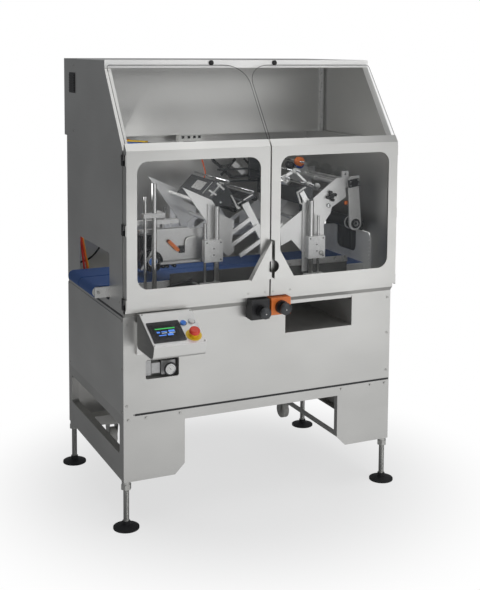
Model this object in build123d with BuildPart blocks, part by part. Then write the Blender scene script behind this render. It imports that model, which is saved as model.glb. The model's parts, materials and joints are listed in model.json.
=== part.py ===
from build123d import *
import os
from math import atan2, cos, sin

# A labelling machine in a sheet-metal housing. X runs to the right along the line, Y to the
# back and Z up. The origin is on the floor, under the middle of the machine.

os.makedirs("parts", exist_ok=True)

# Housing
guide_room = 305            # left side panel to the head's left tip
head_reach = 279            # head's left tip to its middle
dancer_reach = 505          # head's middle to the label roll's spindle
dancer_end_radius = 29
outfeed_room = 50           # dancer to the right side panel
depth = 748                 # cabinet front to enclosure back
front_reach = 290           # origin to the cabinet's front face
sheet = 2.5                 # housing panels
flange = 25                 # returned edges of the panels
leg_clearance = 185         # floor to the underside of the base
base_height = 255
base_sheet = 3
cabinet_height = 366        # cabinet side panels
front_drop = 11             # bed's top face to the cabinet front's top edge
bed_rise = 25               # bed tray above the cabinet's side panels
bed_plate_thickness = 5
skirt_drop = 6              # enclosure side panels below the bed's top face
door_lift = 26              # bed's top face to the doors' bottom edge
door_height = 586           # upright part of a door
hood_rise = 297             # eaves to the header's lower edge
header_height = 31
header_setback = 214        # cabinet front to the header
hood_depth = 590            # cabinet front to the hood's back panel
box_depth = 194             # electrical box behind the hood
fit_gap = 0.3               # rest gap between pieces of different bodies
running = 0.05              # radial clearance of a shaft or a slide in its bore

width = guide_room + head_reach + dancer_reach + dancer_end_radius + outfeed_room
left = -width / 2
right = width / 2
front = -front_reach
back = front + depth
middle_y = (front + back) / 2
base_bottom = leg_clearance
base_top = base_bottom + base_height
cabinet_top = base_top + cabinet_height
bed_top = cabinet_top + bed_rise
cabinet_front_top = bed_top - front_drop
enclosure_bottom = bed_top - skirt_drop
door_bottom = bed_top + door_lift
eaves = door_bottom + door_height
header_bottom = eaves + hood_rise
roof = header_bottom + header_height
header_y = front + header_setback
hood_back = front + hood_depth
head_x = left + guide_room + head_reach


def at_depth(y):
    """A plane facing the front, with X to the right and Z up."""
    return Plane.XZ.offset(-y)


def at_side(x):
    """A plane facing right, with Y to the back and Z up."""
    return Plane.YZ.offset(x)


def block(x_span, y_span, z_span, mode=Mode.ADD):
    """A straight-sided solid between two places on each axis, in the open part."""
    spans = (x_span, y_span, z_span)
    with Locations(tuple(sum(span) / 2 for span in spans)):
        Box(*(span[1] - span[0] for span in spans), mode=mode)


def rod_along_y(x, z, radius, y_start, y_end, mode=Mode.ADD):
    """A round bar from one depth to another, in the open part."""
    with Locations(Location((x, (y_start + y_end) / 2, z), (90, 0, 0))):
        Cylinder(radius, y_end - y_start, mode=mode)


def rod_along_x(y, z, radius, x_start, x_end, mode=Mode.ADD):
    """A round bar from one side to another, in the open part."""
    with Locations(Location(((x_start + x_end) / 2, y, z), (0, 90, 0))):
        Cylinder(radius, x_end - x_start, mode=mode)


# Levelling feet: a domed pad on a threaded spindle, at the four corners
foot_inset_x = 16
foot_inset_y = 20
pad_radius = 50
pad_rim = 6
pad_height = 15
ball_radius = 15
ball_height = 14
spindle_radius = 11
spindle_reach = 60          # above the underside of the base
foot_x = width / 2 - foot_inset_x
foot_front_y = front + foot_inset_y
foot_back_y = back - foot_inset_y

feet = {"foot_front_left": (-foot_x, foot_front_y), "foot_front_right": (foot_x, foot_front_y),
        "foot_back_left": (-foot_x, foot_back_y), "foot_back_right": (foot_x, foot_back_y)}
for foot_name, (x, y) in feet.items():
    with BuildPart() as foot:
        with BuildSketch(Plane(origin=(x, y, 0), x_dir=(1, 0, 0), z_dir=(0, -1, 0))):
            with BuildLine():
                Polyline((0, 0), (pad_radius, 0), (pad_radius, pad_rim),
                         (ball_radius, pad_height), (ball_radius, pad_height + ball_height),
                         (spindle_radius, pad_height + ball_height + 2),
                         (spindle_radius, base_bottom + spindle_reach),
                         (0, base_bottom + spindle_reach), (0, 0))
            make_face()
        revolve(axis=Axis((x, y, 0), (0, 0, 1)))
    foot.part.label = foot_name
    export_step(foot.part, f"parts/{foot_name}.step")

# End frames: a folded plate with a long window at each end of the base
window_front_margin = 48
window_back_margin = 43
window_bottom = 98          # above the underside of the base
window_top_margin = 40
window_corner = 15
rim_depth = 30
corner_block = 40
corner_block_height = 30
beam_wall = 3
caster_beam_width = 60
caster_beam_height = 40
caster_inset_y = 98         # base back to the beam's middle
top_beam_width = 40
frame_front = front + base_sheet
frame_back = back - base_sheet
window_length = depth - window_front_margin - window_back_margin
window_height = base_height - window_bottom - window_top_margin
window_centre = (front + window_front_margin + window_length / 2,
                 base_bottom + window_bottom + window_height / 2)
base_centre = (middle_y, base_bottom + base_height / 2)
caster_y = back - caster_inset_y
beam_floor = base_bottom + base_sheet
with BuildPart() as end_frames:
    with BuildSketch(at_side(left)):
        with Locations(base_centre):
            Rectangle(frame_back - frame_front, base_height)
        with Locations(window_centre):
            RectangleRounded(window_length, window_height, window_corner, mode=Mode.SUBTRACT)
    extrude(amount=base_sheet)
    with BuildSketch(at_side(left)):
        with Locations(base_centre):
            Rectangle(frame_back - frame_front, base_height)
            Rectangle(frame_back - frame_front - 2 * base_sheet, base_height - 2 * base_sheet,
                      mode=Mode.SUBTRACT)
        with Locations(window_centre):
            RectangleRounded(window_length + 2 * base_sheet, window_height + 2 * base_sheet,
                             window_corner + base_sheet)
            RectangleRounded(window_length, window_height, window_corner, mode=Mode.SUBTRACT)
    extrude(amount=rim_depth)
    with Locations(*((-foot_x, y, base_bottom) for y in (foot_front_y, foot_back_y))):
        Cylinder(spindle_radius + running, 3 * base_sheet, mode=Mode.SUBTRACT)
    mirror(about=Plane.YZ)
end_frames.part.label = "end_frames"
export_step(end_frames.part, "parts/end_frames.step")

# Beams that join the two end frames, and a block in each corner for the foot
corner_front = frame_front + base_sheet
corner_back = frame_back - base_sheet
with BuildPart() as base_beams:
    corner_x = (left + base_sheet, left + base_sheet + corner_block)
    corner_z = (beam_floor, beam_floor + corner_block_height)
    block(corner_x, (corner_front, corner_front + corner_block), corner_z)
    block(corner_x, (corner_back - corner_block, corner_back), corner_z)
    block((left + base_sheet, 0), (caster_y - caster_beam_width / 2,
          caster_y + caster_beam_width / 2), (beam_floor, beam_floor + caster_beam_height))
    block((left + base_sheet, 0), (caster_y - caster_beam_width / 2 + beam_wall,
          caster_y + caster_beam_width / 2 - beam_wall),
          (beam_floor + beam_wall, beam_floor + caster_beam_height - beam_wall), Mode.SUBTRACT)
    top_beam_z = (base_top - window_top_margin + base_sheet, base_top - base_sheet)
    for beam_y in (corner_front, corner_back - top_beam_width):
        block((left + base_sheet, 0), (beam_y, beam_y + top_beam_width), top_beam_z)
        block((left + base_sheet, 0), (beam_y + beam_wall, beam_y + top_beam_width - beam_wall),
              (top_beam_z[0] + beam_wall, top_beam_z[1] - beam_wall), Mode.SUBTRACT)
    with Locations(*((-foot_x, y, beam_floor) for y in (foot_front_y, foot_back_y))):
        Cylinder(spindle_radius + running, 2 * corner_block_height + 2 * base_sheet,
                 mode=Mode.SUBTRACT)
    mirror(about=Plane.YZ)
base_beams.part.label = "base_beams"
export_step(base_beams.part, "parts/base_beams.step")

# Aprons: one plate at the front and one at the back, cut away between its two legs
leg_width = 247
leg_chamfer = 40
rail_height = 40
leg_inner = width / 2 - leg_width
rail_bottom = base_top - rail_height
with BuildPart() as aprons:
    with BuildSketch(at_depth(frame_front)):
        with BuildLine():
            Polyline((left, base_bottom), (-leg_inner - leg_chamfer, base_bottom),
                     (-leg_inner, base_bottom + leg_chamfer), (-leg_inner, rail_bottom),
                     (leg_inner, rail_bottom), (leg_inner, base_bottom + leg_chamfer),
                     (leg_inner + leg_chamfer, base_bottom), (right, base_bottom),
                     (right, base_top), (left, base_top), (left, base_bottom))
        make_face()
    extrude(amount=base_sheet)
    block((-leg_inner, leg_inner), (front, front + flange),
          (rail_bottom, rail_bottom + base_sheet))
    for side in (-1, 1):
        block(sorted((side * leg_inner, side * (leg_inner + base_sheet))),
              (front, front + flange), (base_bottom + leg_chamfer, rail_bottom + base_sheet))
    mirror(about=at_depth(middle_y))
aprons.part.label = "aprons"
export_step(aprons.part, "parts/aprons.step")

# Fittings under the base: two nuts on each foot, one locking the other, and the rear casters'
# rigid forks, each with its own wheel on a pin
nut_height = 20
nut_radius = 20
collar_height = 12
collar_radius = 17
caster_inset_x = 163        # base end to the wheel's middle
wheel_radius = 37.5
wheel_width = 32
caster_height = 99          # beam to the wheel's tread
caster_plate = (70, 60, 4)
cheek_thickness = 3
cheek_radius = 13
cheek_gap = 2
axle_radius = 5
hub_radius = 10
tread_round = 6
web_recess = 4
rim_radius = 29
caster_x = width / 2 - caster_inset_x
wheel_z = beam_floor - caster_height + wheel_radius - base_sheet
with BuildPart() as base_fittings:
    foot_grid = GridLocations(2 * foot_x, foot_back_y - foot_front_y, 2, 2)
    foot_middle_y = (foot_front_y + foot_back_y) / 2
    with BuildSketch(Plane((0, foot_middle_y, base_bottom - collar_height))):
        with foot_grid:
            Circle(collar_radius)
            Circle(spindle_radius + running, mode=Mode.SUBTRACT)
    extrude(amount=collar_height)
    with BuildSketch(Plane((0, foot_middle_y, base_bottom - collar_height - nut_height))):
        with foot_grid:
            RegularPolygon(nut_radius, 6)
            Circle(spindle_radius + running, mode=Mode.SUBTRACT)
    extrude(amount=nut_height)
    for side in (-1, 1):
        with Locations((side * caster_x, caster_y, base_bottom + base_sheet - caster_plate[2] / 2)):
            Box(*caster_plate)
        for cheek in (-1, 1):
            inner = side * caster_x + cheek * (wheel_width / 2 + cheek_gap)
            with BuildSketch(at_side(inner)):
                with Locations((caster_y, wheel_z)):
                    Circle(cheek_radius)
                with BuildLine():
                    Polyline((caster_y - cheek_radius, wheel_z), (caster_y + cheek_radius, wheel_z),
                             (caster_y + caster_plate[1] / 2, base_bottom),
                             (caster_y - caster_plate[1] / 2, base_bottom),
                             (caster_y - cheek_radius, wheel_z))
                make_face()
            extrude(amount=cheek * cheek_thickness)
        reach = wheel_width / 2 + cheek_gap + cheek_thickness
        rod_along_x(caster_y, wheel_z, axle_radius, side * caster_x - reach, side * caster_x + reach)
base_fittings.part.label = "base_fittings"
export_step(base_fittings.part, "parts/base_fittings.step")

for wheel_name, side in (("caster_wheel_left", -1), ("caster_wheel_right", 1)):
    with BuildPart() as caster_wheel:
        with BuildSketch(Plane((side * caster_x, caster_y, wheel_z), x_dir=(1, 0, 0),
                               z_dir=(0, -1, 0))) as wheel_profile:
            with Locations((0, (wheel_radius + axle_radius + running) / 2)):
                Rectangle(wheel_width, wheel_radius - axle_radius - running)
            with Locations((wheel_width / 2 - web_recess / 2, (rim_radius + hub_radius) / 2),
                           (web_recess / 2 - wheel_width / 2, (rim_radius + hub_radius) / 2)):
                Rectangle(web_recess, rim_radius - hub_radius, mode=Mode.SUBTRACT)
            fillet(wheel_profile.vertices().group_by(Axis.Y)[-1], tread_round)
        revolve(axis=Axis((side * caster_x, caster_y, wheel_z), (1, 0, 0)))
    caster_wheel.part.label = wheel_name
    export_step(caster_wheel.part, f"parts/{wheel_name}.step")

# Cabinet front, with the waste opening, the air unit's cut-out and the pocket behind it, and a
# slit at the bottom that marks where the cabinet stands on its base
slit_height = 5
slit_margin = 38
waste_right = 186           # from the right side
waste_width = 306
waste_margin = 6            # below the cabinet front's top edge
waste_height = 124
air_left = 88               # from the left side
air_width = 134
air_bottom = 134            # above the base
air_height = 74
air_corner = 8
pocket_depth = 57
pocket_margin = 8
pocket_headroom = 14
inner_front = front + sheet
waste_x = right - waste_right - waste_width / 2
waste_z = cabinet_front_top - waste_margin - waste_height / 2
air_x = left + air_left + air_width / 2
air_z = base_top + air_bottom + air_height / 2
pocket_x = (left + air_left - pocket_margin, left + air_left + air_width + pocket_margin)
pocket_z = (base_top + air_bottom - pocket_margin, base_top + air_bottom + air_height + pocket_headroom)
pocket_back = inner_front + pocket_depth
with BuildPart() as cabinet_front_panel:
    with BuildSketch(at_depth(inner_front)):
        with Locations((0, (base_top + cabinet_front_top) / 2)):
            Rectangle(width, cabinet_front_top - base_top)
        with Locations((0, base_top + slit_height / 2)):
            Rectangle(width - 2 * slit_margin, slit_height, mode=Mode.SUBTRACT)
        with Locations((waste_x, waste_z)):
            Rectangle(waste_width, waste_height, mode=Mode.SUBTRACT)
    extrude(amount=sheet)
    with BuildSketch(at_depth(inner_front)):
        with Locations((air_x, air_z)):
            RectangleRounded(air_width, air_height, air_corner)
    extrude(amount=sheet, mode=Mode.SUBTRACT)
cabinet_front_panel.part.label = "cabinet_front_panel"
export_step(cabinet_front_panel.part, "parts/cabinet_front_panel.step")

with BuildPart() as air_pocket:
    block(pocket_x, (inner_front, pocket_back), pocket_z)
    block((pocket_x[0] + sheet, pocket_x[1] - sheet), (inner_front, pocket_back - sheet),
          (pocket_z[0] + sheet, pocket_z[1] - sheet), Mode.SUBTRACT)
air_pocket.part.label = "air_pocket"
export_step(air_pocket.part, "parts/air_pocket.step")

# The cabinet's sides, with their flanges, and its back and floor
with BuildPart() as cabinet_panels:
    side_y = (inner_front, back)
    block((left, left + sheet), side_y, (base_top, cabinet_top))
    for flange_z in (base_top, cabinet_top - sheet):
        block((left, left + flange), side_y, (flange_z, flange_z + sheet))
    mirror(about=Plane.YZ)
    block((left + sheet, right - sheet), (back - sheet, back), (base_top, cabinet_top))
    block((left + sheet, right - sheet), (inner_front, back), (base_top, base_top + sheet))
cabinet_panels.part.label = "cabinet_panels"
export_step(cabinet_panels.part, "parts/cabinet_panels.step")

# Waste tray behind the front opening, open to the front and above
tray_depth = 420
tray_top_gap = 10           # below the cabinet's top
with BuildPart() as waste_tray:
    tray_x = (waste_x - waste_width / 2 - sheet, waste_x + waste_width / 2 + sheet)
    tray_z = (waste_z - waste_height / 2 - sheet, cabinet_top - tray_top_gap)
    block(tray_x, (inner_front, inner_front + tray_depth), tray_z)
    block((tray_x[0] + sheet, tray_x[1] - sheet), (inner_front, inner_front + tray_depth - sheet),
          (tray_z[0] + sheet, tray_z[1]), Mode.SUBTRACT)
waste_tray.part.label = "waste_tray"
export_step(waste_tray.part, "parts/waste_tray.step")

# Bed: a tray turned upside down over the cabinet, with a folded sill under the doors
sill_proud = 16
sill_drop = 15              # upright face of the sill
sill_depth = 30
sill_gap = 4                # sill to the doors
sill_top = door_bottom - sill_gap
bed_x = (left + sheet, right - sheet)
with BuildPart() as bed_plate:
    block(bed_x, (inner_front, back - sheet), (cabinet_top, bed_top))
    block((bed_x[0] + sheet, bed_x[1] - sheet), (inner_front + sheet, back - 2 * sheet),
          (cabinet_top, bed_top - bed_plate_thickness), Mode.SUBTRACT)
    with BuildSketch(at_side(bed_x[0])):
        with BuildLine():
            Polyline((inner_front, cabinet_front_top), (front, cabinet_front_top),
                     (front - sill_proud, sill_top - sill_drop), (front - sill_proud, sill_top),
                     (front + sill_depth, sill_top), (front + sill_depth, bed_top),
                     (inner_front, bed_top), (inner_front, cabinet_front_top))
        make_face()
        offset(amount=-sheet, kind=Kind.INTERSECTION, mode=Mode.SUBTRACT)
    extrude(amount=bed_x[1] - bed_x[0])
bed_plate.part.label = "bed_plate"
export_step(bed_plate.part, "parts/bed_plate.step")

# Enclosure side panels, with the conveyor's opening in each
port_front = 163            # cabinet front to the opening
port_length = 403
port_bottom = 19            # above the bed
port_height = 185
port_corner = 13
bed_flange = 18             # edge that stands on the bed
port_centre = (front + port_front + port_length / 2, bed_top + port_bottom + port_height / 2)


with BuildPart() as enclosure_panels:
    with BuildSketch(at_side(left)):
        with Locations(((inner_front + back) / 2, (enclosure_bottom + eaves) / 2)):
            Rectangle(back - inner_front, eaves - enclosure_bottom)
        with Locations(port_centre):
            RectangleRounded(port_length, port_height, port_corner, mode=Mode.SUBTRACT)
    extrude(amount=sheet)
    block((left, left + flange), (inner_front - sheet, inner_front), (sill_top, eaves))
    for flange_z, flange_width in ((bed_top, bed_flange), (eaves - sheet, flange)):
        block((left, left + flange_width), (front + sill_depth, back - sheet),
              (flange_z, flange_z + sheet))
    mirror(about=Plane.YZ)
    block((left + sheet, right - sheet), (back - sheet, back), (cabinet_top, eaves))
enclosure_panels.part.label = "enclosure_panels"
export_step(enclosure_panels.part, "parts/enclosure_panels.step")

# Hood: two side panels with a slanted front edge, and the back panel between them
hood_lip_start = 40
slant = atan2(hood_rise, header_setback)
with BuildPart() as hood_panels:
    with BuildSketch(at_side(left)):
        with BuildLine():
            Polyline((front, eaves), (header_y, header_bottom), (header_y, roof - sheet),
                     (hood_back, roof - sheet), (hood_back, eaves), (front, eaves))
        make_face()
    extrude(amount=sheet)
    with BuildSketch(at_side(left)):
        with BuildLine():
            Polyline((front, eaves), (header_y, header_bottom),
                     (header_y + sheet / sin(slant), header_bottom),
                     (front + sheet / sin(slant), eaves), (front, eaves))
        make_face()
    extrude(amount=flange)
    block((left, left + flange), (front + hood_lip_start, hood_back), (eaves, eaves + sheet))
    block((left, left + flange), (hood_back - 2 * sheet, hood_back - sheet), (eaves, roof - sheet))
    mirror(about=Plane.YZ)
    block((left + sheet, right - sheet), (hood_back - sheet, hood_back), (eaves, roof - sheet))
hood_panels.part.label = "hood_panels"
export_step(hood_panels.part, "parts/hood_panels.step")

with BuildPart() as hood_header:
    block((left, right), (header_y - sheet, header_y), (header_bottom, roof))
    block((left, right), (header_y - sheet, hood_back), (roof - sheet, roof))
    block((left + flange, right - flange), (header_y, header_y + flange),
          (header_bottom, header_bottom + sheet))
hood_header.part.label = "hood_header"
export_step(hood_header.part, "parts/hood_header.step")

# Electrical box across the back of the hood: a tub and its cover
with BuildPart() as electrical_box:
    box_y = (hood_back, hood_back + box_depth - sheet)
    block((left, right), box_y, (eaves, roof))
    block((left + sheet, right - sheet), (box_y[0] + sheet, box_y[1]),
          (eaves + sheet, roof - sheet), Mode.SUBTRACT)
electrical_box.part.label = "electrical_box"
export_step(electrical_box.part, "parts/electrical_box.step")

with BuildPart() as electrical_cover:
    block((left, right), (box_y[1], box_y[1] + sheet), (eaves, roof))
electrical_cover.part.label = "electrical_cover"
export_step(electrical_cover.part, "parts/electrical_cover.step")

# Doors: a folded pan whose top edge leans back and carries a clear visor up to the header
door_proud = 36             # cabinet front to the door's face
door_back_gap = 2
door_side_gap = 2
meeting_x = 5               # the doors meet a little right of the middle
meeting_gap = 6
band_length = 33            # leaning band above the upright face
band_return = 12            # band's side edges, folded back
visor_thickness = 5
visor_start = 8             # fold to the visor's lower edge, up the band
visor_over_header = 12
visor_clearance = 3
visor_corner = 92
visor_small_corner = 12
pane_thickness = 4
pane_lap = 10
window_side = 43
window_sill = 70
window_head = 39
window_round = 45
door_face = front - door_proud
door_back = front - door_back_gap
visor_top = header_bottom + visor_over_header
visor_stack = (sheet + visor_thickness) * 1.27
lean = atan2(visor_top - eaves, header_y - sheet - visor_clearance - visor_stack - door_face)
visor_length = (visor_top - eaves) / sin(lean)
band_y = door_face + band_length * cos(lean)
band_z = eaves + band_length * sin(lean)

# Handle: a raised triangle on each door at the meeting edge, with half a finger hole
handle_proud = 27
handle_width = 93           # from the meeting line
handle_bottom = 72          # above the door's bottom edge
handle_height = 161
handle_slot = 13
handle_hole = 24.5
handle_hole_lift = 49
handle_slope = atan2(handle_height, handle_width)

# Hinges: three knuckles a side, the lower half on the side panel and the upper on the door
hinge_out = 4               # side panel's face to the pin
hinge_back = 14             # cabinet front to the pin, towards the door
hinge_length = 40
hinge_radius = 4.5
pin_radius = 2.5
leaf = 3
leaf_reach = 12
hinge_ends = 35             # door's bottom or top edge to a hinge's end
knuckle_gap = 0.5
hinge_y = front - hinge_back
hinge_heights = (door_bottom - 5, (door_bottom + eaves - hinge_length) / 2,
                 eaves - hinge_ends - hinge_length / 2)


def window_shape(side, window_plane, grow, amount, mode=Mode.ADD):
    """One door's window outline, larger by grow, as an extrusion in the open part."""
    outer = side * (width / 2 - window_side)
    inner = meeting_x + side * window_side
    low = door_bottom + window_sill
    high = eaves - window_head
    cut_z = low + (handle_width - window_side) * handle_height / handle_width
    with BuildSketch(window_plane) as window:
        with BuildLine():
            Polyline((outer, low), (outer, high), (inner, high), (inner, cut_z),
                     (meeting_x + side * handle_width, low), close=True)
        make_face()
        fillet([v for v in window.vertices() if v.Y > high - 1 or abs(v.X - outer) < 1],
               window_round)
        if grow:
            offset(amount=grow)
    extrude(window.sketch, amount=amount, mode=mode)


def door_span(side):
    """The left and right edges of one door."""
    return sorted((side * (width / 2 - door_side_gap), meeting_x + side * meeting_gap / 2))


def door_panel(side):
    """A door's folded pan: side is -1 on the left and 1 on the right."""
    outer = side * (width / 2 - door_side_gap)
    low_x, high_x = door_span(side)
    pan_depth = door_back - door_face
    fold_inset = sheet * (1 - sin(lean)) / cos(lean)
    with BuildPart() as pan:
        with BuildSketch(at_side(low_x)) as skin:
            with BuildLine():
                Polyline((door_back, door_bottom), (door_face, door_bottom), (door_face, eaves),
                         (band_y, band_z), (band_y + band_return * sin(lean),
                         band_z - band_return * cos(lean)), (door_back, eaves - band_length),
                         close=True)
            make_face()
        extrude(skin.sketch, amount=high_x - low_x)
        with BuildSketch(at_side(low_x + sheet)) as hollow:
            with BuildLine():
                Polyline((door_face + sheet, door_bottom + sheet),
                         (door_face + sheet, eaves - fold_inset),
                         (door_face + sheet + pan_depth,
                          eaves - fold_inset + pan_depth * sin(lean) / cos(lean)),
                         (door_back + pan_depth, door_bottom + sheet), close=True)
            make_face()
        extrude(hollow.sketch, amount=high_x - low_x - 2 * sheet, mode=Mode.SUBTRACT)
        window_shape(side, at_depth(door_face + sheet), 0, sheet, Mode.SUBTRACT)
        knuckle_x = side * (width / 2 + hinge_out)
        strap_y = hinge_y - hinge_radius - fit_gap
        for z in hinge_heights:
            top = z + hinge_length
            half = z + hinge_length / 2 + knuckle_gap
            block(sorted((outer, outer + side * leaf)), (door_face + sheet, strap_y), (z, top))
            block(sorted((outer + side * (leaf - 1), knuckle_x)), (strap_y - 1, hinge_y), (half, top))
            with Locations((knuckle_x, hinge_y, (half + top) / 2)):
                Cylinder(hinge_radius, top - half)
                Cylinder(pin_radius + running, hinge_length, mode=Mode.SUBTRACT)
    return pan.part


def door_glazing(side):
    """A door's clear pieces: the window pane and the leaning visor."""
    low_x, high_x = door_span(side)
    with BuildPart() as glazing:
        window_shape(side, at_depth(door_face + sheet + pane_thickness), pane_lap, pane_thickness)
        visor_plane = Plane((0, door_face, eaves), x_dir=(1, 0, 0),
                            z_dir=(0, -sin(lean), cos(lean))).offset(-sheet - visor_thickness)
        with BuildSketch(visor_plane) as visor:
            with Locations(((low_x + high_x) / 2, (visor_start + visor_length) / 2)):
                Rectangle(high_x - low_x - 2 * sheet, visor_length - visor_start)
            top_corners = visor.vertices().group_by(Axis.Y)[-1].sort_by(Axis.X)
            fillet(top_corners[0 if side == 1 else -1], visor_corner)
            fillet([v for v in visor.vertices() if v.Y > visor_length - 1
                    and abs(v.X - (low_x + sheet if side == -1 else high_x - sheet)) < 1],
                   visor_small_corner)
        extrude(visor.sketch, amount=visor_thickness)
    return glazing.part


def door_handle(side):
    """Half of the raised triangle that both doors share, with half a finger hole."""
    edge = meeting_x + side * handle_slot / 2
    tip = meeting_x + side * handle_width
    low = door_bottom + handle_bottom
    apex = low + handle_height * (1 - handle_slot / 2 / handle_width)
    web_run = sheet / sin(handle_slope)
    inner_tip = tip - side * (web_run + handle_width * sheet / handle_height)
    with BuildPart() as handle:
        with BuildSketch(at_depth(door_face)) as outline:
            with BuildLine():
                Polyline((edge, low), (tip, low), (edge, apex), close=True)
            make_face()
            with Locations((meeting_x, low + handle_hole_lift)):
                Circle(handle_hole, mode=Mode.SUBTRACT)
        extrude(outline.sketch, amount=handle_proud)
        with BuildSketch(at_depth(door_face)) as hollow:
            with BuildLine():
                Polyline((meeting_x, low + sheet), (inner_tip, low + sheet),
                         (meeting_x, low + handle_height * (1 - web_run / handle_width)), close=True)
            make_face()
        extrude(hollow.sketch, amount=handle_proud - sheet, mode=Mode.SUBTRACT)
    return handle.part


for side_name, side in (("left", -1), ("right", 1)):
    door = door_panel(side)
    door.label = side_name + "_door_panel"
    export_step(door, f"parts/{door.label}.step")
    glass = door_glazing(side)
    glass.label = side_name + "_door_glazing"
    export_step(glass, f"parts/{glass.label}.step")
    grip = door_handle(side)
    grip.label = side_name + "_door_handle"
    export_step(grip, f"parts/{grip.label}.step")

leaf_length = 10            # side panel's part of a hinge, from its front edge
with BuildPart() as door_hinge_leaves:
    for z in hinge_heights:
        block((left - leaf, left), (hinge_y + hinge_radius + 2 * fit_gap, front + leaf_length),
              (z, z + hinge_length))
        block((left - leaf, left), (hinge_y, front), (z, z + hinge_length / 2))
        with Locations((left - hinge_out, hinge_y, z + hinge_length / 4)):
            Cylinder(hinge_radius, hinge_length / 2)
        with Locations((left - hinge_out, hinge_y, z + hinge_length / 2)):
            Cylinder(pin_radius, hinge_length)
    mirror(about=Plane.YZ)
door_hinge_leaves.part.label = "door_hinge_leaves"
export_step(door_hinge_leaves.part, "parts/door_hinge_leaves.step")

# Control console: a box with a sloping lid in front of the cabinet's left end
console_left = 48           # from the left side
console_width = 204
console_back = 18           # cabinet front to the box
console_crest = (44, 17)    # out from the cabinet front and up from its top edge
console_toe = (202, -67)
console_heel = (189, -118)
console_heel_round = 20
console_floor = -116
console_rim = 6             # box's edge around the opening under the lid
console_chamfer = 12
bracket_height = 122
bracket_bottom = 142        # below the cabinet front's top
screen_size = (126, 106)
screen_body = (116, 96)
screen_thickness = 3
screen_depth = 25
screen_corner = 4
screen_place = (117.5, 106.5)      # from the left side, and down the lid
display_size = (96, 61)
display_place = (116, 109)
blue_place = (195, 72)
white_place = (230, 68)
estop_place = (214, 138)
bezel_radius = 14.5
bezel_thickness = 3
barrel_radius = 12.5
barrel_depth = 22
button_radius = 10.95
button_proud = 4            # above the bezel
button_length = 14
console_x = (left + console_left, left + console_left + console_width)
crest = (front - console_crest[0], cabinet_front_top + console_crest[1])
toe = (front - console_toe[0], cabinet_front_top + console_toe[1])
heel = (front - console_heel[0], cabinet_front_top + console_heel[1])
lid_slope = atan2(crest[1] - toe[1], crest[0] - toe[0])
lid_length = (crest[1] - toe[1]) / sin(lid_slope)
lid_plane = Plane((left, crest[0], crest[1]), x_dir=(1, 0, 0),
                  z_dir=(0, -sin(lid_slope), cos(lid_slope)))
with BuildPart() as console_box:
    with BuildSketch(at_side(console_x[0])) as console_side:
        with BuildLine():
            Polyline((front - console_back, crest[1] - 2), crest, toe, heel,
                     (front - console_back - console_chamfer, cabinet_front_top + console_floor),
                     (front - console_back, cabinet_front_top + console_floor + console_chamfer),
                     close=True)
        make_face()
        fillet(console_side.vertices().sort_by(Axis.Y)[0], console_heel_round)
    extrude(amount=console_width)
    with BuildSketch(at_side(console_x[0] + sheet)):
        add(console_side.sketch_local)
        offset(amount=-sheet, mode=Mode.REPLACE)
    extrude(amount=console_width - 2 * sheet, mode=Mode.SUBTRACT)
    with BuildSketch(lid_plane):
        with Locations((console_left + console_width / 2, -lid_length / 2)):
            Rectangle(console_width - 2 * console_rim, lid_length - 2 * console_rim)
    extrude(amount=-2 * sheet, mode=Mode.SUBTRACT)
    block(console_x, (front - console_back, front),
          (cabinet_front_top - bracket_bottom, cabinet_front_top - bracket_bottom + bracket_height))
console_box.part.label = "console_box"
export_step(console_box.part, "parts/console_box.step")

with BuildPart() as console_lid:
    with BuildSketch(lid_plane):
        with Locations((console_left + console_width / 2, -lid_length / 2)):
            Rectangle(console_width, lid_length)
        with Locations((screen_place[0], -screen_place[1])):
            Rectangle(*screen_body, mode=Mode.SUBTRACT)
        with Locations(*((x, -down) for x, down in (blue_place, white_place, estop_place))):
            Circle(barrel_radius, mode=Mode.SUBTRACT)
    extrude(amount=sheet)
console_lid.part.label = "console_lid"
export_step(console_lid.part, "parts/console_lid.step")

lid_face = lid_plane.offset(sheet)
with BuildPart() as touch_screen:
    with BuildSketch(lid_face):
        with Locations((screen_place[0], -screen_place[1])):
            RectangleRounded(*screen_size, screen_corner)
    extrude(amount=screen_thickness)
    with BuildSketch(lid_face):
        with Locations((screen_place[0], -screen_place[1])):
            Rectangle(*screen_body)
    extrude(amount=-screen_depth)
    with BuildSketch(lid_face.offset(screen_thickness)):
        with Locations((display_place[0], -display_place[1])):
            Rectangle(*display_size)
    extrude(amount=-screen_thickness / 4, mode=Mode.SUBTRACT)
touch_screen.part.label = "touch_screen"
export_step(touch_screen.part, "parts/touch_screen.step")


def button_seat(places, rim_radius, rim_height):
    """Sockets for push buttons in the lid: a rim above it and a closed barrel below."""
    spots = [(x, -down) for x, down in places]
    with BuildPart() as seat:
        with BuildSketch(lid_face) as rim:
            with Locations(*spots):
                Circle(rim_radius)
        extrude(rim.sketch, amount=rim_height)
        with BuildSketch(lid_face) as barrel:
            with Locations(*spots):
                Circle(barrel_radius)
        extrude(barrel.sketch, amount=-barrel_depth)
        with BuildSketch(lid_face.offset(rim_height)) as bore:
            with Locations(*spots):
                Circle(button_radius + running)
        extrude(bore.sketch, amount=-rim_height - barrel_depth + sheet, mode=Mode.SUBTRACT)
    return seat.part


button_bezels = button_seat((blue_place, white_place), bezel_radius, bezel_thickness)
button_bezels.label = "button_bezels"
export_step(button_bezels, "parts/button_bezels.step")

for button_name, place in (("blue_button", blue_place), ("white_button", white_place)):
    with BuildPart() as push_button:
        with BuildSketch(lid_face.offset(bezel_thickness + button_proud - button_length)):
            with Locations((place[0], -place[1])):
                Circle(button_radius)
        extrude(amount=button_length)
        fillet(push_button.edges().group_by(Axis((0, 0, 0), lid_face.z_dir))[-1], 1)
    push_button.part.label = button_name
    export_step(push_button.part, f"parts/{button_name}.step")

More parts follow.
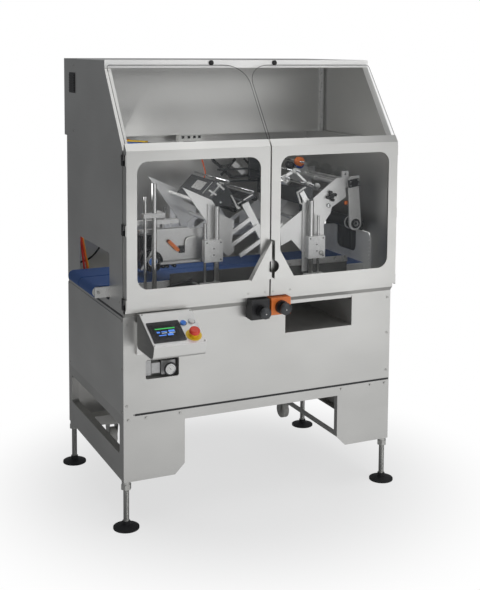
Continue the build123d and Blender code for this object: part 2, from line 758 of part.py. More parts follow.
# Emergency stop: a wide head on a stem over a yellow disc
estop_disc_radius = 30
estop_disc_thickness = 2
estop_collar_height = 9
estop_head_radius = 20
estop_head_height = 14
estop_head_lift = 15        # lid to the head's underside
estop_stem_depth = 13
estop_collar = button_seat((estop_place,), bezel_radius, estop_collar_height)
with BuildPart() as estop_base:
    add(estop_collar)
    with BuildSketch(lid_face):
        with Locations((estop_place[0], -estop_place[1])):
            Circle(estop_disc_radius)
            Circle(bezel_radius, mode=Mode.SUBTRACT)
    extrude(amount=estop_disc_thickness)
estop_base.part.label = "estop_base"
export_step(estop_base.part, "parts/estop_base.step")

with BuildPart() as estop_button:
    with BuildSketch(lid_face.offset(-estop_stem_depth)):
        with Locations((estop_place[0], -estop_place[1])):
            Circle(button_radius)
    extrude(amount=estop_stem_depth + estop_head_lift)
    with BuildSketch(lid_face.offset(estop_head_lift)):
        with Locations((estop_place[0], -estop_place[1])):
            Circle(estop_head_radius)
    extrude(amount=estop_head_height)
    fillet(estop_button.edges().group_by(Axis((0, 0, 0), lid_face.z_dir))[-1],
           estop_head_height / 2)
estop_button.part.label = "estop_button"
export_step(estop_button.part, "parts/estop_button.step")

# Key switch and door lock under the doors: a box each, with a knob that turns
switch_face = 58            # cabinet front to a box's face
turn_axle = 5
turn_axle_depth = 12
knob_thickness = 15
pointer_width = 6
pointer_height = 5
key_knob_radius = 22
lock_knob_radius = 26
# corner of the box and its size, then the knob's middle and radius, from the machine's middle
# and from the cabinet front's top
key_switch = ((-84, -48), (77, 78), (-44, -14), key_knob_radius)
door_lock = ((1, -36), (84, 67), (43, -5), lock_knob_radius)
for box_name, knob_name, (corner, size, middle, knob_radius) in (
        ("key_switch_box", "key_switch_knob", key_switch),
        ("door_lock_box", "door_lock_knob", door_lock)):
    box_x = (corner[0], corner[0] + size[0])
    box_z = (cabinet_front_top + corner[1], cabinet_front_top + corner[1] + size[1])
    knob_x = middle[0]
    knob_z = cabinet_front_top + middle[1]
    with BuildPart() as switch_box:
        block(box_x, (front - switch_face, front - sill_proud), box_z)
        block((box_x[0] + sheet, box_x[1] - sheet), (front - sill_proud, front),
              (box_z[0], cabinet_front_top - sheet))
        rod_along_y(knob_x, knob_z, turn_axle + running, front - switch_face,
                    front - switch_face + turn_axle_depth, Mode.SUBTRACT)
    switch_box.part.label = box_name
    export_step(switch_box.part, f"parts/{box_name}.step")
    with BuildPart() as turn_knob:
        knob_back = front - switch_face - fit_gap
        rod_along_y(knob_x, knob_z, knob_radius, knob_back - knob_thickness, knob_back)
        rod_along_y(knob_x, knob_z, turn_axle, knob_back, knob_back + turn_axle_depth - sheet)
        block((knob_x - pointer_width / 2, knob_x + pointer_width / 2),
              (knob_back - knob_thickness - pointer_height, knob_back - knob_thickness),
              (knob_z - knob_radius + 2, knob_z + knob_radius - 2))
    turn_knob.part.label = knob_name
    export_step(turn_knob.part, f"parts/{knob_name}.step")

# Compressed-air unit in the pocket: valve, lock-out block, regulator, knob and gauge
air_block_y = 20            # cabinet front to the regulator's face
air_valve = (92, 24, 142, 58)      # from the left, width, above the base, height
air_lockout = (118, 34, 148, 40)
air_regulator_body = (158, 57, 140, 52)
air_knob_radius = 16.5
air_knob_height = 26
gauge_radius = 20
gauge_depth = 22
gauge_place = (187, 164)
air_knob_place = 203
with BuildPart() as air_regulator:
    for from_left, wide, above, tall in (air_valve, air_lockout, air_regulator_body):
        block((left + from_left, left + from_left + wide), (front + air_block_y, pocket_back - sheet),
              (base_top + above, base_top + above + tall))
    link_z = base_top + air_regulator_body[2] + air_regulator_body[3] / 2
    rod_along_x(front + 2 * air_block_y, link_z, air_lockout[3] / 4, left + air_valve[0] + 1,
                left + air_regulator_body[0] + 1)
    knob_seat_z = base_top + air_regulator_body[2] + air_regulator_body[3]
    with Locations((left + air_knob_place, front + 2 * air_block_y - sheet, knob_seat_z)):
        Cylinder(turn_axle + running, 2 * turn_axle_depth, mode=Mode.SUBTRACT)
    rod_along_y(left + gauge_place[0], base_top + gauge_place[1], gauge_radius,
                front + air_block_y - gauge_depth, front + air_block_y)
air_regulator.part.label = "air_regulator"
export_step(air_regulator.part, "parts/air_regulator.step")

with BuildPart() as regulator_knob:
    with Locations((left + air_knob_place, front + 2 * air_block_y - sheet,
                    knob_seat_z + fit_gap + air_knob_height / 2)):
        Cylinder(air_knob_radius, air_knob_height)
    with Locations((left + air_knob_place, front + 2 * air_block_y - sheet, knob_seat_z)):
        Cylinder(turn_axle, 2 * turn_axle_depth - sheet)
regulator_knob.part.label = "regulator_knob"
export_step(regulator_knob.part, "parts/regulator_knob.step")

# Conveyor through both end openings: two rails, a slider plate, two belts and two rollers
rail_thickness = 12
rail_low = 27               # above the bed
rail_high = 67
rail_front = 186            # cabinet front to the front rail
rail_back = 527
roller_reach = 38           # side panel to a roller's middle
roller_height = 48          # bed to the rollers' middle
roller_radius = 20
roller_shaft = 6
rail_overhang = 50
belt_thickness = 3
belt_spans = ((200, 370), (380, 525))
slider_thickness = 6
rail_foot = 18
rail_foot_inset = 104       # side panels to the outer feet
rail_foot_places = (left + rail_foot_inset, 0, right - rail_foot_inset)
roller_z = bed_top + roller_height
belt_inner = roller_radius + fit_gap
roller_x = width / 2 + roller_reach
slider_top = roller_z + belt_inner
slider_end = width / 2 - roller_radius
front_rail = (front + rail_front, front + rail_front + rail_thickness)
back_rail = (front + rail_back, front + rail_back + rail_thickness)
belt_bottom = roller_z - belt_inner - belt_thickness
with BuildPart() as conveyor_frame:
    for rail_y in (front_rail, back_rail):
        block((left - rail_overhang, right + rail_overhang), rail_y,
              (bed_top + rail_low, bed_top + rail_high))
        for x in rail_foot_places:
            outer_y = rail_y[0] - rail_foot / 2 if rail_y == front_rail else rail_y[0]
            block((x - rail_foot, x + rail_foot), (outer_y, outer_y + rail_foot),
                  (bed_top, bed_top + rail_low))
        for x in (-roller_x, roller_x):
            rod_along_y(x, roller_z, roller_shaft + running, *rail_y, Mode.SUBTRACT)
    for x in rail_foot_places:
        block((x - rail_foot, x + rail_foot), (front_rail[1], back_rail[0]),
              (roller_z - belt_inner + fit_gap, slider_top - slider_thickness))
    block((-slider_end, slider_end), (front_rail[1], back_rail[0]),
          (slider_top - slider_thickness, slider_top))
conveyor_frame.part.label = "conveyor_frame"
export_step(conveyor_frame.part, "parts/conveyor_frame.step")

with BuildPart() as conveyor_belts:
    for belt_start, belt_end in belt_spans:
        with BuildSketch(at_depth(front + belt_end)):
            with Locations((0, roller_z)):
                SlotOverall(2 * (roller_x + belt_inner + belt_thickness),
                            2 * (belt_inner + belt_thickness))
                SlotOverall(2 * (roller_x + belt_inner), 2 * belt_inner, mode=Mode.SUBTRACT)
        extrude(amount=belt_end - belt_start)
conveyor_belts.part.label = "conveyor_belts"
export_step(conveyor_belts.part, "parts/conveyor_belts.step")

for roller_name, x in (("tail_roller", -roller_x), ("drive_roller", roller_x)):
    with BuildPart() as roller:
        rod_along_y(x, roller_z, roller_radius, front_rail[1] + 1, back_rail[0] - 1)
        rod_along_y(x, roller_z, roller_shaft, front_rail[0] - roller_shaft,
                    back_rail[1] + roller_shaft)
    roller.part.label = roller_name
    export_step(roller.part, f"parts/{roller_name}.step")

# Four columns carry the labelling head, with a thin rod beside each, and two posts at the left
# carry the product guide
column_radius = 12.5
column_places = (-144, 283)         # from the head's middle
rod_places = (-193, 319)
side_rod_radius = 6
column_depth = 150          # cabinet front to the front columns
head_depth = 375            # cabinet front to the head's middle
column_height = 362         # above the bed
rod_height = 297
column_foot = (85, 45, 54)
column_foot_back = 14.5     # front columns' middle to their feet's back face
post_x = (177, 140)         # product guide's posts, from the left side
post_radius = (10, 6)
post_height = (466, 415)    # above the bed
post_foot = (70, 40, 30)
column_y = front + column_depth
head_middle = front + head_depth
column_x = [head_x + x for x in column_places]
rod_x = [head_x + x for x in rod_places]
with BuildPart() as column_feet:
    for i in (0, 1):
        foot_middle = (column_x[i] + rod_x[i]) / 2
        block((foot_middle - column_foot[0] / 2, foot_middle + column_foot[0] / 2),
              (column_y + column_foot_back - column_foot[1], column_y + column_foot_back),
              (bed_top, bed_top + column_foot[2]))
        with Locations((column_x[i], column_y, bed_top)):
            Cylinder(column_radius + running, 2 * column_height, mode=Mode.SUBTRACT)
        with Locations((rod_x[i], column_y, bed_top)):
            Cylinder(side_rod_radius + running, 2 * column_height, mode=Mode.SUBTRACT)
    mirror(about=at_depth(head_middle))
    with Locations((left + sum(post_x) / 2, column_y, bed_top + post_foot[2] / 2)):
        Box(*post_foot)
    for i in (0, 1):
        with Locations((left + post_x[i], column_y, bed_top)):
            Cylinder(post_radius[i] + running, 2 * post_height[i], mode=Mode.SUBTRACT)
column_feet.part.label = "column_feet"
export_step(column_feet.part, "parts/column_feet.step")

with BuildPart() as guide_columns:
    for i in (0, 1):
        with Locations((column_x[i], column_y, bed_top + column_height / 2)):
            Cylinder(column_radius, column_height)
        with Locations((rod_x[i], column_y, bed_top + rod_height / 2)):
            Cylinder(side_rod_radius, rod_height)
    mirror(about=at_depth(head_middle))
    for i in (0, 1):
        with Locations((left + post_x[i], column_y, bed_top + post_height[i] / 2)):
            Cylinder(post_radius[i], post_height[i])
guide_columns.part.label = "guide_columns"
export_step(guide_columns.part, "parts/guide_columns.step")


def plate(corners, near, far):
    """A flat plate facing the front, in the open part. Its corners are X and the height above
    the bed, and its two faces are given from the cabinet's front."""
    with BuildSketch(at_depth(front + far)) as outline:
        with BuildLine():
            Polyline(*((x, bed_top + up) for x, up in corners), close=True)
        make_face()
    extrude(outline.sketch, amount=far - near)


# Labelling head: it rides on the columns. The plates are alike at the front and the back. Its
# pieces are drawn about their own middle and then set in place.
at_head = Pos(head_x, 0, 0)
clamp_spans = (((-199, -121), (140, 227)), ((267, 345), (120, 212)))
upright_spans = (((-175, -150), (140, 369)), ((254, 284), (62, 366)))
clamp_depth = 30
plate_thickness = 6
bar_radius = 8
head_beam = (150, 200)      # above the bed
clamp_back = column_depth + clamp_depth / 2
inner_plate = (clamp_back + plate_thickness, clamp_back + 2 * plate_thickness)
deep_plate = (inner_plate[1], inner_plate[1] + plate_thickness)
with BuildPart() as head_clamps:
    for i in (0, 1):
        span_x, span_z = clamp_spans[i]
        block(span_x, (column_y - clamp_depth / 2, column_y + clamp_depth / 2),
              (bed_top + span_z[0], bed_top + span_z[1]))
        with Locations((column_places[i], column_y, bed_top + column_height / 2)):
            Cylinder(column_radius + running, column_height, mode=Mode.SUBTRACT)
        with Locations((rod_places[i], column_y, bed_top + column_height / 2)):
            Cylinder(side_rod_radius + running, column_height, mode=Mode.SUBTRACT)
        span_x, span_z = upright_spans[i]
        block(span_x, (front + clamp_back, front + clamp_back + plate_thickness),
              (bed_top + span_z[0], bed_top + span_z[1]))
    mirror(about=at_depth(head_middle))
    beam_y = 2 * head_middle - column_y + clamp_depth / 2
    block((clamp_spans[0][0][0], clamp_spans[1][0][1]), (beam_y, beam_y + plate_thickness),
          (bed_top + head_beam[0], bed_top + head_beam[1]))
head_clamps_placed = at_head * head_clamps.part
head_clamps_placed.label = "head_clamps"
export_step(head_clamps_placed, "parts/head_clamps.step")

left_plate = ((-head_reach, 440), (-154, 383), (-112, 322), (-55, 295), (-65, 212), (-54, 171),
              (-82, 150), (-106, 172), (-150, 262))
lower_plate = ((153, 251), (259, 322), (310, 353), (357, 300), (359, 187), (261, 138),
               (205, 198), (157, 177))
right_plate = ((310, 365), (390, 424), (419, 444), (531, 452), (531, 431), (506, 412), (462, 401),
               (467, 363), (399, 323), (393, 298), (365, 262), (336, 289), (311, 309))
left_bars = ((-84, 172), (-84, 270), (-176, 366))
lower_bars = ((200, 230), (330, 250))
right_bars = ((345, 330), (409, 428))
web_bars = ((372, 388), (437, 432))
web_bar_radius = 5
ladder_width = 16
ladder = (((-103, 229), (14, 303)), ((-90, 186), (48, 272)), ((-31, 154), (165, 271)))
strut = ((-17, 356), (12, 366), (100, 204), (74, 192))
star_place = (392, 371)
disc_place = (466, 459)
dancer_pivot = (493, 428)
dancer_end = (dancer_reach, 249)
pivot_radius = 8
disc_rod_radius = 4
star_axle = 5
disc_bearing = ((450, 482), (424, 472))
disc_bearing_depth = 10
with BuildPart() as head_plates:
    plate(left_plate, *inner_plate)
    plate(lower_plate, *inner_plate)
    for start, end in ladder:
        slope_up = atan2(end[1] - start[1], end[0] - start[0])
        drop = (ladder_width * sin(slope_up), -ladder_width * cos(slope_up))
        plate((start, end, (end[0] + drop[0], end[1] + drop[1]),
               (start[0] + drop[0], start[1] + drop[1])), inner_plate[1] - 1, deep_plate[1])
    plate(strut, deep_plate[1] - 1, deep_plate[1] + plate_thickness)
    for bars in (left_bars, lower_bars):
        for x, up in bars:
            rod_along_y(x, bed_top + up, bar_radius, front + inner_plate[1] - 1, head_middle)
    mirror(about=at_depth(head_middle))
head_plates_placed = at_head * head_plates.part
head_plates_placed.label = "head_plates"
export_step(head_plates_placed, "parts/head_plates.step")

with BuildPart() as head_arms:
    plate(right_plate, *deep_plate)
    for x, up in right_bars:
        rod_along_y(x, bed_top + up, bar_radius, front + deep_plate[1] - 1, head_middle)
    for x, up in web_bars:
        rod_along_y(x, bed_top + up, web_bar_radius, front + deep_plate[1] - 1, head_middle)
    block(disc_bearing[0], (front + deep_plate[1], front + deep_plate[1] + disc_bearing_depth),
          (bed_top + disc_bearing[1][0], bed_top + disc_bearing[1][1]))
    rod_along_y(dancer_pivot[0], bed_top + dancer_pivot[1], pivot_radius + running, front,
                head_middle, Mode.SUBTRACT)
    rod_along_y(disc_place[0], bed_top + disc_place[1], disc_rod_radius + running, front,
                head_middle, Mode.SUBTRACT)
    mirror(about=at_depth(head_middle))
    rod_along_y(star_place[0], bed_top + star_place[1], star_axle + running, front, head_middle,
                Mode.SUBTRACT)
head_arms_placed = at_head * head_arms.part
head_arms_placed.label = "head_arms"
export_step(head_arms_placed, "parts/head_arms.step")

# Star knob on the right plate
star_radius = 11
star_lobe = 7
star_lobe_place = 17
star_lobes = 4
star_thickness = 14
with BuildPart() as star_knob:
    knob_near = front + deep_plate[0] - fit_gap - star_thickness
    with BuildSketch(at_depth(front + deep_plate[0] - fit_gap)):
        with Locations((star_place[0], bed_top + star_place[1])):
            Circle(star_radius)
            with PolarLocations(star_lobe_place, star_lobes, start_angle=18):
                Circle(star_lobe)
    extrude(amount=star_thickness)
    rod_along_y(star_place[0], bed_top + star_place[1], star_axle, front + deep_plate[0] - 1,
                front + deep_plate[1] + plate_thickness)
star_knob_placed = at_head * star_knob.part
star_knob_placed.label = "star_knob"
export_step(star_knob_placed, "parts/star_knob.step")

# Chute for the labels' web: two leaning trays across the machine, on spacers between the plates
chute_trays = (((-144, 385), (-87, 443)), ((-26, 356), (45, 393)))
chute_near = 200
chute_sheet = 4
chute_lip = 12
chute_block = ((-158, 352), (-158, 366), (-85, 440), (-52, 402), (-52, 352))
chute_link = ((-64, 395), (4, 370), (4, 360), (-64, 385))
chute_spacers = (((-150, 360), inner_plate[1]), ((2, 354), deep_plate[1] + plate_thickness))
spacer_radius = 5
with BuildPart() as label_chute:
    for start, end in chute_trays:
        tray_slope = atan2(end[1] - start[1], end[0] - start[0])
        drop = (sin(tray_slope), -cos(tray_slope))
        for thickness, far in ((chute_sheet, head_depth), (chute_lip, chute_near + chute_sheet)):
            plate((start, end, (end[0] + thickness * drop[0], end[1] + thickness * drop[1]),
                   (start[0] + thickness * drop[0], start[1] + thickness * drop[1])),
                  chute_near, far)
    plate(chute_block, chute_near, head_depth)
    plate(chute_link, chute_near, chute_near + chute_lip)
    for (x, up), spacer_near in chute_spacers:
        rod_along_y(x, bed_top + up, spacer_radius, front + spacer_near, front + chute_near + 1)
    mirror(about=at_depth(head_middle))
label_chute_placed = at_head * label_chute.part
label_chute_placed.label = "label_chute"
export_step(label_chute_placed, "parts/label_chute.step")

# Print head: a bar across the machine on two feet
print_block = ((240, 346), (307, 413))
print_foot = ((255, 300), (300, 347))
with BuildPart() as print_head:
    block((print_block[0][0], print_block[1][0]), (front + inner_plate[1], head_middle),
          (bed_top + print_block[0][1], bed_top + print_block[1][1]))
    block(print_foot[0], (front + inner_plate[1], front + chute_near),
          (bed_top + print_foot[1][0], bed_top + print_foot[1][1]))
    mirror(about=at_depth(head_middle))
print_head_placed = at_head * print_head.part
print_head_placed.label = "print_head"
export_step(print_head_placed, "parts/print_head.step")

# Dancer: two arms on one shaft, that carry the spindle of the label roll
dancer_arm_near = 160
dancer_thickness = 8
dancer_top_radius = 24
spindle_shaft = 6
mandrel_radius = 26
mandrel_near = 190
with BuildPart() as dancer_arm:
    for (x, up), radius in ((dancer_pivot, dancer_top_radius), (dancer_end, dancer_end_radius)):
        rod_along_y(x, bed_top + up, radius, front + dancer_arm_near,
                    front + dancer_arm_near + dancer_thickness)
    plate(((dancer_pivot[0] - dancer_top_radius, dancer_pivot[1]),
           (dancer_pivot[0] + dancer_top_radius, dancer_pivot[1]),
           (dancer_end[0] + dancer_end_radius, dancer_end[1]),
           (dancer_end[0] - dancer_end_radius, dancer_end[1])),
          dancer_arm_near, dancer_arm_near + dancer_thickness)
    rod_along_y(dancer_pivot[0], bed_top + dancer_pivot[1], pivot_radius,
                front + dancer_arm_near - 2, head_middle)
    rod_along_y(dancer_end[0], bed_top + dancer_end[1], spindle_shaft + running, front,
                head_middle, Mode.SUBTRACT)
    mirror(about=at_depth(head_middle))
dancer_arm_placed = at_head * dancer_arm.part
dancer_arm_placed.label = "dancer_arm"
export_step(dancer_arm_placed, "parts/dancer_arm.step")

with BuildPart() as roll_spindle:
    rod_along_y(dancer_end[0], bed_top + dancer_end[1], spindle_shaft,
                front + dancer_arm_near - spindle_shaft, head_middle)
    rod_along_y(dancer_end[0], bed_top + dancer_end[1], mandrel_radius, front + mandrel_near,
                head_middle)
    mirror(about=at_depth(head_middle))
roll_spindle_placed = at_head * roll_spindle.part
roll_spindle_placed.label = "roll_spindle"
export_step(roll_spindle_placed, "parts/roll_spindle.step")

# Three clear discs on a rod guide the web over the arms
disc_radius = 30
disc_thickness = 3
disc_places = (220, 350, 460)
with BuildPart() as disc_roller:
    rod_along_y(disc_place[0], bed_top + disc_place[1], disc_rod_radius,
                front + deep_plate[1], 2 * head_middle - front - deep_plate[1])
    for place in disc_places:
        rod_along_y(disc_place[0], bed_top + disc_place[1], disc_radius, front + place,
                    front + place + disc_thickness)
disc_roller_placed = at_head * disc_roller.part
disc_roller_placed.label = "disc_roller"
export_step(disc_roller_placed, "parts/disc_roller.step")

# Product guide: a bracket that slides on its posts, with two ledges, a motor and a press wheel
guide_clamp = ((129, 218), (332, 349))
guide_plate = ((200, 267), (404, 271), (404, 139), (228, 139), (165, 138), (160, 165), (199, 209))
guide_plate_near = 197
guide_ledges = (((114, 289), (300, 317)), ((125, 331), (268, 280)))
guide_ledge_near = 172
guide_hanger = ((187, 218), (262, 340))
guide_lip = ((212, 404), (139, 147))
press_wheel_place = (187, 150)
press_wheel_radius = 42
press_wheel_span = (220, 255)
press_axle = 6
motor_span = ((162, 237), (106, 243))
motor_near = 262
motor_depth = 120
motor_arm = ((205, 232), (150, 240))
lever_place = (255, 225)
lever_length = 48
lever_width = 14
with BuildPart() as guide_bracket:
    block((left + guide_clamp[0][0], left + guide_clamp[0][1]),
          (column_y - clamp_depth / 2, column_y + clamp_depth / 2),
          (bed_top + guide_clamp[1][0], bed_top + guide_clamp[1][1]))
    block((left + guide_hanger[0][0], left + guide_hanger[0][1]),
          (front + guide_plate_near, front + guide_plate_near + plate_thickness),
          (bed_top + guide_hanger[1][0], bed_top + guide_clamp[1][1]))
    block((left + guide_hanger[0][0], left + guide_hanger[0][1]),
          (column_y + clamp_depth / 2 - 1, front + guide_plate_near + 1),
          (bed_top + guide_clamp[1][0], bed_top + guide_clamp[1][1]))
    for ledge_x, ledge_z in guide_ledges:
        block((left + ledge_x[0], left + ledge_x[1]),
              (front + guide_ledge_near, front + guide_plate_near + 1),
              (bed_top + ledge_z[0], bed_top + ledge_z[1]))
    block((left + guide_lip[0][0], left + guide_lip[0][1]),
          (front + guide_ledge_near, front + guide_plate_near + 1),
          (bed_top + guide_lip[1][0], bed_top + guide_lip[1][1]))
    plate([(left + x, up) for x, up in guide_plate], guide_plate_near,
          guide_plate_near + plate_thickness)
    block((left + motor_arm[0][0], left + motor_arm[0][1]),
          (front + guide_plate_near + 1, front + motor_near),
          (bed_top + motor_arm[1][1] - plate_thickness, bed_top + motor_arm[1][1]))
    block((left + motor_span[0][0], left + motor_span[0][1]),
          (front + motor_near, front + motor_near + motor_depth),
          (bed_top + motor_span[1][0], bed_top + motor_span[1][1]))
    for i in (0, 1):
        with Locations((left + post_x[i], column_y, bed_top + post_height[0] / 2)):
            Cylinder(post_radius[i] + running, post_height[0], mode=Mode.SUBTRACT)
    rod_along_y(left + press_wheel_place[0], bed_top + press_wheel_place[1], press_axle + running,
                front, front + motor_near, Mode.SUBTRACT)
    rod_along_y(left + lever_place[0], bed_top + lever_place[1], turn_axle + running,
                front, front + motor_near, Mode.SUBTRACT)
guide_bracket.part.label = "guide_bracket"
export_step(guide_bracket.part, "parts/guide_bracket.step")

with BuildPart() as press_wheel:
    wheel_at = (left + press_wheel_place[0], bed_top + press_wheel_place[1])
    rod_along_y(*wheel_at, press_axle, front + guide_plate_near - press_axle,
                front + press_wheel_span[1])
    rod_along_y(*wheel_at, press_wheel_radius, front + press_wheel_span[0],
                front + press_wheel_span[1])
press_wheel.part.label = "press_wheel"
export_step(press_wheel.part, "parts/press_wheel.step")

with BuildPart() as clamp_lever:
    lever_at = (left + lever_place[0], bed_top + lever_place[1])
    lever_face = front + guide_plate_near - fit_gap
    rod_along_y(*lever_at, turn_axle, lever_face - 1, front + guide_plate_near + 2 * plate_thickness)
    with BuildSketch(at_depth(lever_face)):
        with Locations(Location((*lever_at, 0), (0, 0, -45))):
            with Locations((lever_length / 2, 0)):
                SlotCenterToCenter(lever_length, lever_width)
    extrude(amount=lever_width)
clamp_lever.part.label = "clamp_lever"
export_step(clamp_lever.part, "parts/clamp_lever.step")

# Outfeed guard: an upright plate with a wide notch across the belts, inside the right end
guard_inset = 22            # side panel to the plate
guard_thickness = 4
guard_corners = ((121, 74), (535, 74), (535, 186), (407, 209), (242, 209), (145, 209), (123, 187))
notch_span = (242, 407)
notch_bottom = 109
notch_round = 30
guard_foot = 59
guard_hole = 4
guard_hole_rows = 7
with BuildPart() as outfeed_guard:
    with BuildSketch(at_side(right - guard_inset)) as guard_outline:
        with BuildLine():
            Polyline(*((front + y, bed_top + up) for y, up in guard_corners), close=True)
        make_face()
        with Locations((front + sum(notch_span) / 2, bed_top + guard_corners[2][1])):
            Rectangle(notch_span[1] - notch_span[0], 2 * (guard_corners[2][1] - notch_bottom),
                      mode=Mode.SUBTRACT)
        fillet([v for v in guard_outline.vertices() if abs(v.Y - bed_top - notch_bottom) < 1],
               notch_round)
        with Locations((front + guard_corners[0][0] + 3 * guard_hole,
                        bed_top + (guard_corners[0][1] + guard_corners[-1][1]) / 2)):
            with GridLocations(1, 4 * guard_hole, 1, guard_hole_rows):
                Circle(guard_hole, mode=Mode.SUBTRACT)
    extrude(amount=-guard_thickness)
    block((right - guard_inset - guard_thickness, right - guard_inset),
          (front + guard_corners[0][0], front + guard_corners[0][0] + guard_foot),
          (bed_top, bed_top + guard_corners[0][1]))
    block((right - guard_inset - flange, right - guard_inset),
          (front + guard_corners[0][0], front + guard_corners[0][0] + guard_foot),
          (bed_top, bed_top + guard_thickness))
outfeed_guard.part.label = "outfeed_guard"
export_step(outfeed_guard.part, "parts/outfeed_guard.step")
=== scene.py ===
import json
from math import cos, pi, radians, sin

import bmesh
import bpy
from mathutils import Matrix, Vector


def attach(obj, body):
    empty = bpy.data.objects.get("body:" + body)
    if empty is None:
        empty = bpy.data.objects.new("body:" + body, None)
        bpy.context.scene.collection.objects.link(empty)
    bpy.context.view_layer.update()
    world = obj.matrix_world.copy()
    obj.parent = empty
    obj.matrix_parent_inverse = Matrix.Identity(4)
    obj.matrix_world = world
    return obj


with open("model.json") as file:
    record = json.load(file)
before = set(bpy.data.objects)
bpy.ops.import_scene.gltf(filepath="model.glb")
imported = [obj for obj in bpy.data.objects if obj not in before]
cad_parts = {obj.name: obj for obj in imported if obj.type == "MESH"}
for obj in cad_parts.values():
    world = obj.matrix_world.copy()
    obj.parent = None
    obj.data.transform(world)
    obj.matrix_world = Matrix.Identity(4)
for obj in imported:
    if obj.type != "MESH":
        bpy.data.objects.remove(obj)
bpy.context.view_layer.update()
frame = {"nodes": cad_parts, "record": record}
nodes = frame["nodes"]
print("frame loaded:", len(nodes), "nodes")

mm = 0.001
leftX, rightX, frontY = -0.584, 0.584, -0.290  # sides and front of the cabinet
bedZ = 0.831  # top of the bed


# materials

def newMaterial(name, color, roughness, metallic=0.0):
    material = bpy.data.materials.new(name)
    material.use_nodes = True
    shader = material.node_tree.nodes["Principled BSDF"]
    shader.inputs["Base Color"].default_value = (*color, 1)
    shader.inputs["Roughness"].default_value = roughness
    shader.inputs["Metallic"].default_value = metallic
    return material, shader


def objectPlace(material, stretch=(1, 1, 1)):
    tree = material.node_tree
    place = tree.nodes.new("ShaderNodeTexCoord")
    mapping = tree.nodes.new("ShaderNodeMapping")
    mapping.inputs["Scale"].default_value = stretch
    tree.links.new(place.outputs["Object"], mapping.inputs["Vector"])
    return mapping.outputs["Vector"]


def noiseMap(material, scale, stretch=(1, 1, 1), detail=3.0):
    noise = material.node_tree.nodes.new("ShaderNodeTexNoise")
    noise.inputs["Scale"].default_value = scale
    noise.inputs["Detail"].default_value = detail
    material.node_tree.links.new(objectPlace(material, stretch), noise.inputs["Vector"])
    return noise.outputs["Fac"]


def ramp(material, shader, socket, source, low, high, start=0.3, stop=0.7):
    # a map spread over a range of colours or values, for one of the shader's sockets
    tree = material.node_tree
    node = tree.nodes.new("ShaderNodeValToRGB")
    for element, position, tone in zip(node.color_ramp.elements, (start, stop), (low, high)):
        element.position = position
        element.color = (*tone, 1) if isinstance(tone, tuple) else (tone, tone, tone, 1)
    tree.links.new(source, node.inputs["Fac"])
    tree.links.new(node.outputs["Color"], shader.inputs[socket])


def bump(material, shader, source, strength, distance):
    node = material.node_tree.nodes.new("ShaderNodeBump")
    node.inputs["Strength"].default_value = strength
    node.inputs["Distance"].default_value = distance
    material.node_tree.links.new(source, node.inputs["Height"])
    material.node_tree.links.new(node.outputs["Normal"], shader.inputs["Normal"])


def shade(color, factor):
    return tuple(min(1.0, c * factor) for c in color)


def brushedSteel(name, color, roughness=0.36, metallic=0.9, grain=(3, 3, 260)):
    material, shader = newMaterial(name, color, roughness, metallic)
    lines = noiseMap(material, 3.0, grain, 2.0)
    cloud = noiseMap(material, 2.2, (1, 1, 1.6), 2.0)
    ramp(material, shader, "Base Color", cloud, shade(color, 0.93), shade(color, 1.04), 0.35, 0.65)
    ramp(material, shader, "Roughness", lines, roughness - 0.05, roughness + 0.07, 0.25, 0.75)
    bump(material, shader, lines, 0.06, 0.0003)
    return material


def plainMetal(name, color, roughness, metallic=0.9, scale=60.0):
    material, shader = newMaterial(name, color, roughness, metallic)
    spots = noiseMap(material, scale, detail=4.0)
    ramp(material, shader, "Base Color", spots, shade(color, 0.88), shade(color, 1.06))
    ramp(material, shader, "Roughness", spots, roughness - 0.04, roughness + 0.06)
    bump(material, shader, spots, 0.05, 0.0002)
    return material


def plastic(name, color, roughness, coat=0.0, grain=900.0, depth=0.08):
    material, shader = newMaterial(name, color, roughness)
    shader.inputs["Coat Weight"].default_value = coat
    spots = noiseMap(material, grain, detail=2.0)
    cloud = noiseMap(material, 14.0, detail=2.0)
    ramp(material, shader, "Base Color", cloud, shade(color, 0.9), shade(color, 1.08))
    ramp(material, shader, "Roughness", spots, roughness - 0.05, roughness + 0.05)
    bump(material, shader, spots, depth, 0.0002)
    return material


def clearSheet(name, color, alpha):
    material, shader = newMaterial(name, color, 0.04)
    shader.inputs["Alpha"].default_value = alpha
    shader.inputs["IOR"].default_value = 1.49
    smears = noiseMap(material, 5.0, (1, 1, 0.6), 4.0)
    ramp(material, shader, "Roughness", smears, 0.03, 0.09)
    return material


def weave(name, color, scale=700.0):
    material, shader = newMaterial(name, color, 0.6)
    tree = material.node_tree
    checker = tree.nodes.new("ShaderNodeTexChecker")
    checker.inputs["Scale"].default_value = 1.0
    checker.inputs["Color1"].default_value = (*shade(color, 0.86), 1)
    checker.inputs["Color2"].default_value = (*shade(color, 1.1), 1)
    tree.links.new(objectPlace(material, (scale, scale, scale)), checker.inputs["Vector"])
    tree.links.new(checker.outputs["Color"], shader.inputs["Base Color"])
    bump(material, shader, checker.outputs["Fac"], 0.2, 0.0003)
    return material


def glow(name, color, strength):
    material, shader = newMaterial(name, color, 0.3)
    shader.inputs["Emission Color"].default_value = (*color, 1)
    shader.inputs["Emission Strength"].default_value = strength
    ramp(material, shader, "Base Color", noiseMap(material, 2500.0), shade(color, 0.8), color)
    return material


